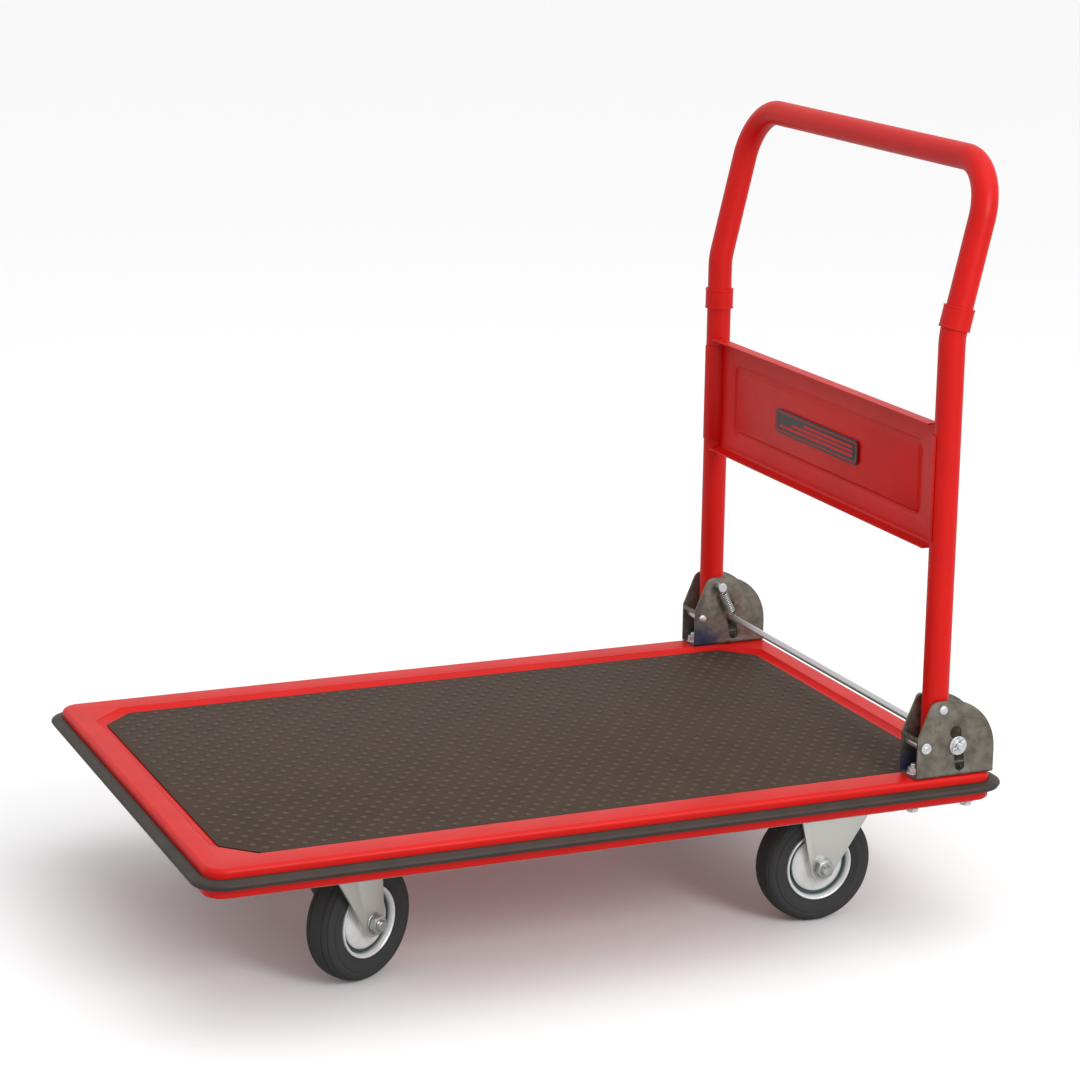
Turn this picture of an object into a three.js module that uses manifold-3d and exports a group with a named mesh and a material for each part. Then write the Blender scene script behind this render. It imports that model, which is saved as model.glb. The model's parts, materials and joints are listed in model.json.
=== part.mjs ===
// Folding platform cart: a pressed steel deck on two fixed and two swivel casters, with a
// tubular push handle that folds down onto the rubber mat once the cross rod is pressed.
// Millimetres. +X towards the handle, +Y to the right-hand side, +Z up. The origin is on the
// floor, under the middle of the deck. Left is the -Y side.

import * as THREE from 'three';
import { mergeVertices } from 'three/addons/utils/BufferGeometryUtils.js';
import Module from 'manifold-3d';

const wasm = await Module();
wasm.setup();

// Driving dimensions ---------------------------------------------------------------------

const GAP = 0.3; // running gap that touching pieces keep
const SIDES = [['left', -1], ['right', 1]];

const DECK = { length: 900, width: 596, top: 184.3, skirt: 31.5, sheet: 2, edge: 5, corner: 22, lip: 9 };
const TRAY = { deep: 5.6, margin: 5, slope: 6 };
const MAT = { endMargin: 36, sideMargin: 47, chamfer: 35, thick: 2.3 };
const BUMPER = { out: 13, high: 9.5, drop: 9.2, round: 4 };

const RAIL = { y: 276.5, width: 23, high: 33.5, sheet: 2, from: -430, to: 430 };
const CROSS = { foot: 105, flange: 15.5, high: 16.3, sheet: 2.5, halfLength: 255 };

const TUBE = { radius: 14.5, wall: 1.8 };
const LEG = { x: 380, y: 278.4 };
const HANDLE = { bend: 486, bendRadius: 80, top: 667.2, cornerRadius: 60, lean: THREE.MathUtils.degToRad(13.3) };
const PIVOT = { high: 77.5, radius: 4, head: 5.2, endClear: 41.5 };
const STOP = { x: 360.2, high: 36, radius: 5, head: 6.2 };
const COLLAR = { high: 24, radius: 17.2, alongUpper: 19.5, rightHigh: 437 };
const PANEL = { from: 253.5, to: 388, sheet: 1.6, tabInset: 9, tabThick: 1.5 };
const BADGE = { width: 202, high: 28.5, corner: 6, thick: 0.8, y: 13, middle: 318.5 };

const BRACKET = { from: 350.3, to: 446, inside: 260, outside: 296.8, sheet: 2.5, curve: 60, top: 87.5 };
const SLOT = { topX: 397, topHigh: 50.7, footX: 404, footHigh: 12, width: 11.5, keyRadius: 7 };
const ROD = { x: 399.8, high: 35.5, radius: 4, end: 306 };
const WASHER = { radius: 10.5, thick: 1.6 };
const PIN = { radius: 1.1, length: 21, y: 301.6 };
const SPRING = { radius: 5.5, y: 252.4, from: 7, to: 39 };
const BOLT = { xs: [357.7, 424.7], radius: 4, across: 7.4, headHigh: 4.7, nutHigh: 6.4, end: 14 };

const WHEEL = { radius: 66.3, halfWidth: 19.6, rim: 39.8, hub: 13.8, hubHalf: 19 };
const AXLE = { radius: 6, across: 10.6, head: 7.5, nut: 8, tail: 4.5 };
const FORK = { gap: 21.5, sheet: 2.5, boss: 15 };
const CASTER = { plateTop: 159.8, plate: 3, plateX: 105, plateY: 80, y: 194, frontX: -279, rearX: 282, rearShift: 10 };
const SWIVEL = { trail: 32, crownTop: 140.8, crown: 3, yaw: THREE.MathUtils.degToRad(27), race: 29, kingpin: 6 };

const LEAN_X = Math.tan(HANDLE.lean) * (HANDLE.top - HANDLE.bend);
const PIVOT_Z = DECK.top + PIVOT.high;

// Finishes -------------------------------------------------------------------------------

const FINISHES = {
  redPaint: [0xc41a1c, 0.35, 0.1],
  mat: [0x4a4038, 0.75, 0],
  bumper: [0x2f2b28, 0.6, 0],
  zinc: [0xa9aba8, 0.35, 0.9],
  brightZinc: [0xd6dadb, 0.22, 1],
  paleZinc: [0xd8d8d2, 0.4, 0.8],
  tyre: [0x2a2a2b, 0.8, 0],
  blackLabel: [0x141414, 0.45, 0],
  bronze: [0x8a6a3a, 0.5, 0.9],
};

function finish(name) {
  const [color, roughness, metalness] = FINISHES[name];
  return new THREE.MeshStandardMaterial({ color, roughness, metalness });
}

// Booleans: closed geometry to solid and back ----------------------------------------------

function toSolid(geometry) {
  const bare = geometry.clone();
  bare.deleteAttribute('normal');
  bare.deleteAttribute('uv');
  const merged = mergeVertices(bare, 1e-4);
  const corners = merged.index.array;
  const kept = [];
  for (let i = 0; i < corners.length; i += 3) {
    const [a, b, c] = [corners[i], corners[i + 1], corners[i + 2]];
    if (a !== b && b !== c && c !== a) kept.push(a, b, c);
  }
  const vertProperties = new Float32Array(merged.attributes.position.array);
  return new wasm.Manifold(new wasm.Mesh({ numProp: 3, vertProperties, triVerts: new Uint32Array(kept) }));
}

function toGeometry(solid) {
  const mesh = solid.getMesh();
  const geometry = new THREE.BufferGeometry();
  geometry.setAttribute('position', new THREE.BufferAttribute(new Float32Array(mesh.vertProperties), 3));
  geometry.setIndex(new THREE.BufferAttribute(new Uint32Array(mesh.triVerts), 1));
  geometry.computeVertexNormals();
  return geometry;
}

function cut(base, ...tools) {
  return toGeometry(tools.reduce((solid, tool) => solid.subtract(toSolid(tool)), toSolid(base)));
}

function join(base, ...more) {
  return toGeometry(more.reduce((solid, piece) => solid.add(toSolid(piece)), toSolid(base)));
}

// Plain shapes ---------------------------------------------------------------------------

function box(x0, x1, y0, y1, z0, z1) {
  const geometry = new THREE.BoxGeometry(x1 - x0, y1 - y0, z1 - z0);
  return geometry.translate((x0 + x1) / 2, (y0 + y1) / 2, (z0 + z1) / 2);
}

function rodY(radius, y0, y1, x, z, segments = 12) {
  const geometry = new THREE.CylinderGeometry(radius, radius, Math.abs(y1 - y0), segments);
  return geometry.translate(x, (y0 + y1) / 2, z);
}

function rodZ(radius, z0, z1, x, y, segments = 12) {
  const geometry = new THREE.CylinderGeometry(radius, radius, z1 - z0, segments);
  return geometry.rotateX(Math.PI / 2).translate(x, y, (z0 + z1) / 2);
}

function polygon(points) {
  return new THREE.Shape(points.map(([x, y]) => new THREE.Vector2(x, y)));
}

function roundedRect(width, height, radius) {
  const [w, h] = [width / 2 - radius, height / 2 - radius];
  const shape = new THREE.Shape();
  shape.absarc(w, h, radius, 0, Math.PI / 2);
  shape.absarc(-w, h, radius, Math.PI / 2, Math.PI);
  shape.absarc(-w, -h, radius, Math.PI, 1.5 * Math.PI);
  shape.absarc(w, -h, radius, 1.5 * Math.PI, 2 * Math.PI);
  return shape;
}

function prismZ(shape, z0, z1, curveSegments = 3) {
  const geometry = new THREE.ExtrudeGeometry(shape, { depth: z1 - z0, bevelEnabled: false, curveSegments });
  return geometry.translate(0, 0, z0);
}

// A shape drawn in (x, z), swept along Y from y0 to y1.
function prismY(shape, y0, y1, curveSegments = 4) {
  const geometry = new THREE.ExtrudeGeometry(shape, { depth: y1 - y0, bevelEnabled: false, curveSegments });
  return geometry.rotateX(Math.PI / 2).translate(0, y1, 0);
}

// A shape drawn in (y, z), swept along X from x0 to x1.
function prismX(shape, x0, x1) {
  const geometry = new THREE.ExtrudeGeometry(shape, { depth: x1 - x0, bevelEnabled: false, curveSegments: 3 });
  const turn = new THREE.Matrix4().makeBasis(
    new THREE.Vector3(0, 1, 0),
    new THREE.Vector3(0, 0, 1),
    new THREE.Vector3(1, 0, 0),
  );
  return geometry.applyMatrix4(turn).translate(x0, 0, 0);
}

// A slab with rounded upper and lower edges, from z0 to z1.
function softSlab(width, height, corner, z0, z1, round) {
  const geometry = new THREE.ExtrudeGeometry(roundedRect(width, height, corner), {
    depth: z1 - z0 - 2 * round,
    bevelThickness: round,
    bevelSize: round,
    bevelOffset: -round,
    bevelSegments: 2,
    curveSegments: 3,
  });
  return geometry.translate(0, 0, z0 + round);
}

// A ring turned about the Y axis from a closed profile of [radius, y] points.
function turned(profile, segments) {
  const points = profile.map(([r, y]) => new THREE.Vector2(r, y));
  return new THREE.LatheGeometry([...points, points[0].clone()], segments);
}

function ring(inner, outer, y0, y1, segments = 16) {
  return turned([[inner, y0], [outer, y0], [outer, y1], [inner, y1]], segments);
}

// Orders a span on the given side so that the smaller value comes first.
function span(side, near, far) {
  return side < 0 ? [-far, -near] : [near, far];
}

const root = new THREE.Group();

function addPiece(parent, name, geometry, finishName) {
  const mesh = new THREE.Mesh(geometry, finish(finishName));
  mesh.name = name;
  parent.add(mesh);
  return mesh;
}

// Deck -----------------------------------------------------------------------------------

function boltHoles(z0, z1) {
  return SIDES.flatMap(([, side]) => BOLT.xs.map((x) => rodZ(BOLT.radius + 0.6, z0, z1, x, side * LEG.y, 12)));
}

// A rectangle with its corners clipped by c.
function clippedOutline(x, y, c) {
  return [[x, y - c], [x - c, y], [c - x, y], [-x, y - c], [-x, c - y], [c - x, -y], [x - c, -y], [x, c - y]];
}

// The sunken floor that the mat lies in, with walls that slope outwards; out moves them all outwards.
function trayTool(out) {
  const { deep, margin, slope } = TRAY;
  const x = DECK.length / 2 - MAT.endMargin + margin + out;
  const y = DECK.width / 2 - MAT.sideMargin + margin + out;
  const geometry = new THREE.ExtrudeGeometry(polygon(clippedOutline(x, y, MAT.chamfer + 3)), {
    depth: 4,
    bevelThickness: deep,
    bevelSize: slope,
    bevelSegments: 1,
  });
  return geometry.translate(0, 0, DECK.top - out);
}

// The pan is pressed from one sheet: rounded top edge, deep skirt, an inward lip and a sunken floor.
function deckPan() {
  const { length, width, top, skirt, sheet, edge, corner, lip } = DECK;
  const foot = top - skirt;
  const outer = softSlab(length, width, corner, foot - edge, top, edge);
  const inner = softSlab(length - 2 * sheet, width - 2 * sheet, corner - sheet, foot + sheet, top - sheet, edge - sheet);
  const mouth = prismZ(roundedRect(length - 2 * lip, width - 2 * lip, corner - lip), foot - edge - 1, top - skirt / 2);
  const below = box(-length, length, -width, width, foot - 2 * edge, foot);
  const hollow = cut(inner, trayTool(sheet));
  return cut(outer, below, hollow, mouth, trayTool(0), ...boltHoles(top - 2 * sheet, top + 1));
}

function deckMat() {
  const x = DECK.length / 2 - MAT.endMargin;
  const y = DECK.width / 2 - MAT.sideMargin;
  const floor = DECK.top - TRAY.deep + GAP;
  return prismZ(polygon(clippedOutline(x, y, MAT.chamfer)), floor, floor + MAT.thick);
}

function edgeBumper() {
  const top = DECK.top - BUMPER.drop;
  const reach = 2 * BUMPER.out;
  const corner = DECK.corner + BUMPER.out;
  const strip = softSlab(DECK.length + reach, DECK.width + reach, corner, top - BUMPER.high, top, BUMPER.round);
  const hole = roundedRect(DECK.length + 2 * GAP, DECK.width + 2 * GAP, DECK.corner + GAP);
  return cut(strip, prismZ(hole, top - 2 * BUMPER.high, top + BUMPER.high));
}

// U-channel under each long edge, open upwards; the hinge bolts clamp through it.
function sideRail(side) {
  const { y, width, high, sheet, from, to } = RAIL;
  const top = DECK.top - DECK.sheet - GAP;
  const [h, z] = [width / 2, top - high];
  const section = polygon([
    [-h, z], [h, z], [h, top], [h - sheet, top], [h - sheet, z + sheet],
    [sheet - h, z + sheet], [sheet - h, top], [-h, top],
  ]);
  return cut(prismX(section, from, to).translate(0, side * y, 0), ...boltHoles(z - 1, z + 2 * sheet));
}

// Hat-section member across the deck; the caster plates bolt to its flat foot.
function crossmember(x) {
  const { foot, flange, high, sheet, halfLength } = CROSS;
  const top = DECK.top - TRAY.deep - DECK.sheet - GAP;
  const [h, z] = [foot / 2, top - high];
  const section = polygon([
    [-h - flange, top], [-h - flange, top - sheet], [-h, top - sheet], [-h, z], [h, z],
    [h, top - sheet], [h + flange, top - sheet], [h + flange, top], [h - sheet, top],
    [h - sheet, z + sheet], [sheet - h, z + sheet], [sheet - h, top],
  ]);
  return prismY(section, -halfLength, halfLength).translate(x, 0, 0);
}

// Hinge brackets -------------------------------------------------------------------------

function sidePlateOutline() {
  const { from, to, curve, top } = BRACKET;
  const z = DECK.top;
  const shape = new THREE.Shape();
  shape.moveTo(from, z + GAP);
  shape.lineTo(to, z + GAP);
  shape.lineTo(to, z + top - curve);
  shape.absarc(to - curve, z + top - curve, curve, 0, Math.PI / 2);
  shape.lineTo(from + 25.7, z + top);
  shape.quadraticCurveTo(from + 17.7, z + top, from + 15.2, z + top - 4.5);
  shape.lineTo(from, z + 47);
  return shape;
}

function slotTool(y0, y1) {
  const { topX, topHigh, footX, footHigh, width, keyRadius } = SLOT;
  const lean = Math.atan2(footX - topX, topHigh - footHigh);
  const long = Math.hypot(footX - topX, topHigh - footHigh);
  const channel = prismY(roundedRect(width, long + width, width / 2 - 0.01), y0, y1);
  channel.rotateY(-lean);
  channel.translate((topX + footX) / 2, 0, DECK.top + (topHigh + footHigh) / 2);
  return join(channel, rodY(keyRadius, y0, y1, topX, DECK.top + topHigh));
}

// One folded sheet: base, two side plates with their holes and slots, and two cross straps.
function hingeBracket(side) {
  const { from, to, inside, outside, sheet } = BRACKET;
  const z = DECK.top + GAP;
  const [y0, y1] = span(side, inside, outside);
  const plates = [y0, y1 - sheet].map((y) => prismY(sidePlateOutline(), y, y + sheet, 4));
  const base = box(from, to, y0 + 1, y1 - 1, z, z + sheet);
  const frontStrap = box(from, from + 4.2, y0 + 1, y1 - 1, z + 41.5, z + 46.5);
  const footStrap = box(397, 411, y0 + 1, y1 - 1, DECK.top + 15.5, DECK.top + 17.5);
  const body = join(base, ...plates, frontStrap, footStrap);
  return cut(
    body,
    slotTool(y0 - 1, y0 + sheet + 1),
    slotTool(y1 - sheet - 1, y1 + 1),
    rodY(PIVOT.radius + 0.5, y0 - 1, y1 + 1, LEG.x, PIVOT_Z),
    rodY(STOP.radius + 0.5, y0 - 1, y1 + 1, STOP.x, DECK.top + STOP.high),
    ...boltHoles(DECK.top, z + 2 * sheet),
  );
}

function pivotPin(side) {
  const shank = rodY(PIVOT.radius, side * 246, side * 298.2, LEG.x, PIVOT_Z);
  const outerHead = rodY(PIVOT.head, side * 297.2, side * 299.4, LEG.x, PIVOT_Z);
  const innerHead = rodY(PIVOT.head + 0.8, side * 244.6, side * 246.6, LEG.x, PIVOT_Z);
  return join(shank, outerHead, innerHead);
}

function stopPin(side) {
  const z = DECK.top + STOP.high;
  return join(
    rodY(STOP.radius, side * 257.6, side * 298.2, STOP.x, z),
    rodY(STOP.head, side * 297.2, side * 299.4, STOP.x, z, 20),
  );
}

function bracketBolt(x, side) {
  const y = side * LEG.y;
  const foot = DECK.top - DECK.sheet - GAP - RAIL.high - GAP;
  const base = DECK.top + GAP + BRACKET.sheet + GAP;
  return join(
    rodZ(BOLT.across, foot - BOLT.headHigh, foot, x, y, 6),
    rodZ(BOLT.radius, foot - 1, DECK.top + BOLT.end, x, y, 12),
    rodZ(BOLT.across, base, base + BOLT.nutHigh, x, y, 6),
  );
}

// Handle ---------------------------------------------------------------------------------

// A path through given stations; a sweep along it puts one section at each station.
class StationPath extends THREE.Curve {
  constructor(stations) {
    super();
    this.stations = stations;
  }

  getPoint(t, target = new THREE.Vector3()) {
    const last = this.stations.length - 1;
    const index = Math.min(Math.floor(t * last), last - 1);
    return target.lerpVectors(this.stations[index], this.stations[index + 1], t * last - index);
  }

  getUtoTmapping(u) {
    return u;
  }
}

// The points of an arc that rounds the corner of a bent tube.
function cornerArc(before, corner, after, radius, steps) {
  const inward = before.clone().sub(corner).normalize();
  const onward = after.clone().sub(corner).normalize();
  const turn = Math.PI - inward.angleTo(onward);
  const start = corner.clone().addScaledVector(inward, radius * Math.tan(turn / 2));
  const axis = inward.clone().negate().cross(onward).normalize();
  const spoke = axis.clone().cross(inward).multiplyScalar(radius);
  const centre = start.clone().sub(spoke);
  const points = [];
  for (let i = 0; i <= steps; i += 1) {
    points.push(spoke.clone().applyAxisAngle(axis, (turn * i) / steps).add(centre));
  }
  return points;
}

function handleStations() {
  const foot = PIVOT_Z - PIVOT.endClear - 1;
  const [bend, top] = [DECK.top + HANDLE.bend, DECK.top + HANDLE.top];
  const topX = LEG.x + LEAN_X;
  const corners = [
    [LEG.x, -LEG.y, foot], [LEG.x, -LEG.y, bend], [topX, -LEG.y, top],
    [topX, LEG.y, top], [LEG.x, LEG.y, bend], [LEG.x, LEG.y, foot],
  ].map((point) => new THREE.Vector3(...point));
  const bends = [HANDLE.bendRadius, 2];
  const turns = [HANDLE.cornerRadius, 6];
  const rounds = [bends, turns, turns, bends];
  const stations = [corners[0]];
  rounds.forEach(([radius, steps], i) => {
    stations.push(...cornerArc(corners[i], corners[i + 1], corners[i + 2], radius, steps));
  });
  stations.push(corners[5]);
  return stations;
}

// One tube bent into a bow; its two open ends are cut round the pivots, clear of the cross rod.
function handleTube() {
  const section = new THREE.Shape();
  section.absarc(0, 0, TUBE.radius, 0, 2 * Math.PI);
  const bore = new THREE.Path();
  bore.absarc(0, 0, TUBE.radius - TUBE.wall, 0, 2 * Math.PI);
  section.holes.push(bore);
  const stations = handleStations();
  const path = new StationPath(stations);
  const tube = new THREE.ExtrudeGeometry(section, {
    steps: stations.length - 1,
    curveSegments: 8,
    extrudePath: path,
  });
  const reach = PIVOT.endClear;
  const legs = LEG.y + 2 * TUBE.radius;
  const below = box(LEG.x - reach, LEG.x + reach, -legs, legs, PIVOT_Z - 2 * reach, PIVOT_Z - reach / 2);
  const trim = cut(below, rodY(reach, -legs - 1, legs + 1, LEG.x, PIVOT_Z, 40));
  return cut(tube, trim, rodY(PIVOT.radius + 0.5, -legs, legs, LEG.x, PIVOT_Z));
}

// The quarter sleeve that wraps the front of a leg, in plan about the leg's axis.
function tabOutline(side) {
  const [outer, inner] = [TUBE.radius + GAP + PANEL.tabThick, TUBE.radius + GAP];
  const angles = side < 0 ? [85, 186] : [174, 275];
  const [from, to] = angles.map(THREE.MathUtils.degToRad);
  const shape = new THREE.Shape();
  shape.absarc(0, 0, outer, from, to);
  shape.absarc(0, 0, inner, to, from, true);
  return shape;
}

function handlePanel() {
  const { from, to, sheet, tabInset } = PANEL;
  const [z0, z1] = [DECK.top + from, DECK.top + to];
  const [front, back] = [LEG.x - 1.8, LEG.x - 1.8 + sheet];
  const reach = LEG.y - TUBE.radius - 1;
  const tabs = SIDES.map(([, side]) => {
    const tab = prismZ(tabOutline(side), z0 + tabInset, z1 - tabInset, 5);
    return tab.translate(LEG.x, side * LEG.y, 0);
  });
  const flanges = [z0, z1 - sheet].map((z) => box(LEG.x - TUBE.radius, back, -reach, reach, z, z + sheet));
  return join(box(front, back, -reach, reach, z0, z1), ...flanges, ...tabs);
}

function panelBadge() {
  const front = LEG.x - 1.8 - GAP;
  const badge = prismX(roundedRect(BADGE.width, BADGE.high, BADGE.corner), front - BADGE.thick, front);
  return badge.translate(0, BADGE.y, DECK.top + BADGE.middle);
}

function collar() {
  return ring(TUBE.radius + 0.4, COLLAR.radius, -COLLAR.high / 2, COLLAR.high / 2, 20).rotateX(Math.PI / 2);
}

function addHandle() {
  addPiece(root, 'handle_tube', handleTube(), 'redPaint');
  addPiece(root, 'handle_panel', handlePanel(), 'redPaint');
  addPiece(root, 'panel_badge', panelBadge(), 'blackLabel');
  const tilted = addPiece(root, 'collar_left', collar(), 'redPaint');
  tilted.rotation.y = HANDLE.lean;
  const up = COLLAR.alongUpper;
  const [dx, dz] = [Math.sin(HANDLE.lean) * up, Math.cos(HANDLE.lean) * up];
  tilted.position.set(LEG.x + dx, -LEG.y, DECK.top + HANDLE.bend + dz);
  const plain = addPiece(root, 'collar_right', collar(), 'redPaint');
  plain.position.set(LEG.x, LEG.y, DECK.top + COLLAR.rightHigh);
}

// Release rod and springs -----------------------------------------------------------------

const PIN_TILT = THREE.MathUtils.degToRad(45);

function releaseRod() {
  const z = DECK.top + ROD.high;
  const rod = rodY(ROD.radius, -ROD.end, ROD.end, ROD.x, z);
  const holes = [-PIN.y, PIN.y].map((y) => {
    const hole = new THREE.CylinderGeometry(PIN.radius + 0.5, PIN.radius + 0.5, 4 * ROD.radius, 12);
    return hole.rotateX(Math.PI / 2).rotateY(PIN_TILT).translate(ROD.x, y, z);
  });
  return cut(rod, ...holes);
}

function splitPin() {
  const shank = rodZ(PIN.radius, -PIN.length / 2, PIN.length / 2, 0, 0, 10);
  const eye = rodY(2.4 * PIN.radius, -PIN.radius, PIN.radius, 0, -PIN.length / 2, 12);
  return join(shank, eye).rotateY(PIN_TILT);
}

// The coil's outer shape, on the line from the pivot pin down to the rod.
function lockSpring(side) {
  const [dx, dz] = [ROD.x - LEG.x, ROD.high - PIVOT.high];
  const long = Math.hypot(dx, dz);
  const middle = (SPRING.from + SPRING.to) / 2 / long;
  const coil = new THREE.CylinderGeometry(SPRING.radius, SPRING.radius, SPRING.to - SPRING.from, 14);
  coil.rotateX(Math.PI / 2).rotateY(Math.atan2(dx, dz));
  return coil.translate(LEG.x + dx * middle, side * SPRING.y, PIVOT_Z + dz * middle);
}

function addRelease() {
  addPiece(root, 'release_rod', releaseRod(), 'brightZinc');
  for (const [label, side] of SIDES) {
    const z = DECK.top + ROD.high;
    const near = BRACKET.outside + 0.4;
    const washer = ring(ROD.radius + 0.5, WASHER.radius, ...span(side, near, near + WASHER.thick));
    addPiece(root, `rod_washer_${label}`, washer, 'brightZinc').position.set(ROD.x, 0, z);
    addPiece(root, `split_pin_${label}`, splitPin(), 'brightZinc').position.set(ROD.x, side * PIN.y, z);
    addPiece(root, `lock_spring_${label}`, lockSpring(side), 'zinc');
  }
}

// Casters --------------------------------------------------------------------------------

// An arm that tapers from a straight top edge to a round boss about the axle at (0, 0). Its right
// side runs straight down to the shoulder first.
function forkArm(left, right, top, shoulder) {
  const tangent = (x, z, way) => Math.atan2(z, x) + way * Math.acos(FORK.boss / Math.hypot(x, z));
  const shape = new THREE.Shape();
  shape.moveTo(right, shoulder);
  if (shoulder < top) shape.lineTo(right, top);
  shape.lineTo(left, top);
  shape.absarc(0, 0, FORK.boss, tangent(left, top, 1), tangent(right, shoulder, -1) + 2 * Math.PI);
  return shape;
}

function forkSides(left, right, top, shoulder = top) {
  const arm = forkArm(left, right, top, shoulder);
  return [-FORK.gap - FORK.sheet, FORK.gap].map((y) => prismY(arm, y, y + FORK.sheet, 7));
}

function axleHole() {
  return rodY(AXLE.radius + 0.5, -2 * FORK.gap, 2 * FORK.gap, 0, 0);
}

// Local frames below have the axle along Y through the origin.
function fixedFork() {
  const top = CASTER.plateTop - GAP - WHEEL.radius;
  const [x, y] = [CASTER.plateX / 2, CASTER.plateY / 2];
  const plate = box(-x, x, -y, y, top - CASTER.plate, top).translate(CASTER.rearShift, 0, 0);
  return cut(join(plate, ...forkSides(-36, 58, top - 1, 60)), axleHole());
}

function swivelFork() {
  const top = SWIVEL.crownTop - WHEEL.radius;
  const [left, right] = [-SWIVEL.trail - 37, -SWIVEL.trail + 43];
  const y = FORK.gap + FORK.sheet;
  const crown = box(left, right, -y, y, top - SWIVEL.crown, top);
  const bore = rodZ(SWIVEL.kingpin + 0.6, top - 9, top + 9, -SWIVEL.trail, 0);
  return cut(join(crown, ...forkSides(left, right, top)), axleHole(), bore);
}

// Top plate with its riveted kingpin, about the swivel axis.
function swivelPlate() {
  const top = CASTER.plateTop - GAP;
  const under = SWIVEL.crownTop - SWIVEL.crown - GAP;
  const [x, y] = [CASTER.plateX / 2, CASTER.plateY / 2];
  return join(
    box(-x, x, -y, y, top - CASTER.plate, top),
    rodZ(SWIVEL.kingpin, under - 2, top - 1, 0, 0),
    rodZ(SWIVEL.kingpin + 4, under - 4, under, 0, 0),
  );
}

// The ball race between plate and crown, turned about the swivel axis.
function swivelRace() {
  const [z0, z1] = [SWIVEL.crownTop + GAP, CASTER.plateTop - CASTER.plate - 2 * GAP];
  const [inner, outer] = [SWIVEL.kingpin + 2, SWIVEL.race];
  const profile = [[inner, z0], [outer - 3, z0], [outer, z0 + 5], [outer, z1 - 4], [outer - 4, z1], [inner, z1]];
  return turned(profile, 20).rotateX(Math.PI / 2);
}

function axleBolt(out) {
  const face = FORK.gap + FORK.sheet + GAP;
  const [headNear, tailEnd] = [-out * face, out * (face + AXLE.nut + AXLE.tail)];
  return join(
    rodY(AXLE.across, headNear, headNear - out * AXLE.head, 0, 0, 6),
    rodY(AXLE.radius, headNear - out, tailEnd, 0, 0),
  );
}

function axleNut(out) {
  const face = FORK.gap + FORK.sheet + GAP;
  const [y0, y1] = span(out, face, face + AXLE.nut);
  return cut(rodY(AXLE.across, y0, y1, 0, 0, 6), rodY(AXLE.radius + 0.5, y0 - 1, y1 + 1, 0, 0));
}

function wheelTyre() {
  const { radius: r, halfWidth: w, rim } = WHEEL;
  const half = [[r, w - 11.5], [r - 2.5, w - 4.5], [r - 8.5, w], [rim + 7.5, w - 1], [rim + GAP, w - 6.5]];
  return turned([...half.map(([a, b]) => [a, -b]).reverse(), ...half], 28);
}

function wheelRim() {
  const { rim, hub, hubHalf } = WHEEL;
  const half = [[rim, 15], [rim - 4.5, 14], [rim - 8.5, 7], [hub, 7], [hub, hubHalf], [9.3, hubHalf]];
  return turned([...half.map(([a, b]) => [a, -b]).reverse(), ...half], 24);
}

function addWheel(parent, label, out) {
  addPiece(parent, `tyre_${label}`, wheelTyre(), 'tyre');
  addPiece(parent, `rim_${label}`, wheelRim(), 'brightZinc');
  addPiece(parent, `bush_${label}`, ring(AXLE.radius + 0.3, 9, -20, 20, 16), 'bronze');
  addPiece(parent, `axle_bolt_${label}`, axleBolt(out), 'zinc');
  addPiece(parent, `axle_nut_${label}`, axleNut(out), 'zinc');
}

function addFixedCaster(label, side) {
  const caster = new THREE.Group();
  caster.position.set(CASTER.rearX, side * CASTER.y, WHEEL.radius);
  root.add(caster);
  addPiece(caster, `fixed_fork_${label}`, fixedFork(), 'paleZinc');
  addWheel(caster, `rear_${label}`, side);
}

function addSwivelCaster(label, side) {
  const caster = new THREE.Group();
  caster.position.set(CASTER.frontX, side * CASTER.y, 0);
  root.add(caster);
  addPiece(caster, `swivel_plate_${label}`, swivelPlate(), 'paleZinc');
  addPiece(caster, `swivel_race_${label}`, swivelRace(), 'brightZinc');
  const turn = new THREE.Group();
  turn.rotation.z = SWIVEL.yaw;
  caster.add(turn);
  const hub = new THREE.Group();
  hub.position.set(SWIVEL.trail, 0, WHEEL.radius);
  turn.add(hub);
  addPiece(hub, `swivel_fork_${label}`, swivelFork(), 'paleZinc');
  addWheel(hub, `front_${label}`, side);
}

// Assembly -------------------------------------------------------------------------------

addPiece(root, 'deck_pan', deckPan(), 'redPaint');
addPiece(root, 'deck_mat', deckMat(), 'mat');
addPiece(root, 'edge_bumper', edgeBumper(), 'bumper');
addPiece(root, 'crossmember_front', crossmember(CASTER.frontX), 'zinc');
addPiece(root, 'crossmember_rear', crossmember(CASTER.rearX + CASTER.rearShift), 'zinc');
addHandle();
addRelease();
for (const [label, side] of SIDES) {
  addPiece(root, `side_rail_${label}`, sideRail(side), 'zinc');
  addPiece(root, `hinge_bracket_${label}`, hingeBracket(side), 'zinc');
  addPiece(root, `pivot_pin_${label}`, pivotPin(side), 'brightZinc');
  addPiece(root, `stop_pin_${label}`, stopPin(side), 'brightZinc');
  addPiece(root, `bracket_bolt_front_${label}`, bracketBolt(BOLT.xs[0], side), 'brightZinc');
  addPiece(root, `bracket_bolt_rear_${label}`, bracketBolt(BOLT.xs[1], side), 'brightZinc');
  addFixedCaster(label, side);
  addSwivelCaster(label, side);
}

export default root;
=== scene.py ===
"""A folding platform cart: pressed red deck with a studded mat, four casters, two hinge
brackets and a tube handle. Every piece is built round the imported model's own boxes."""

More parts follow.
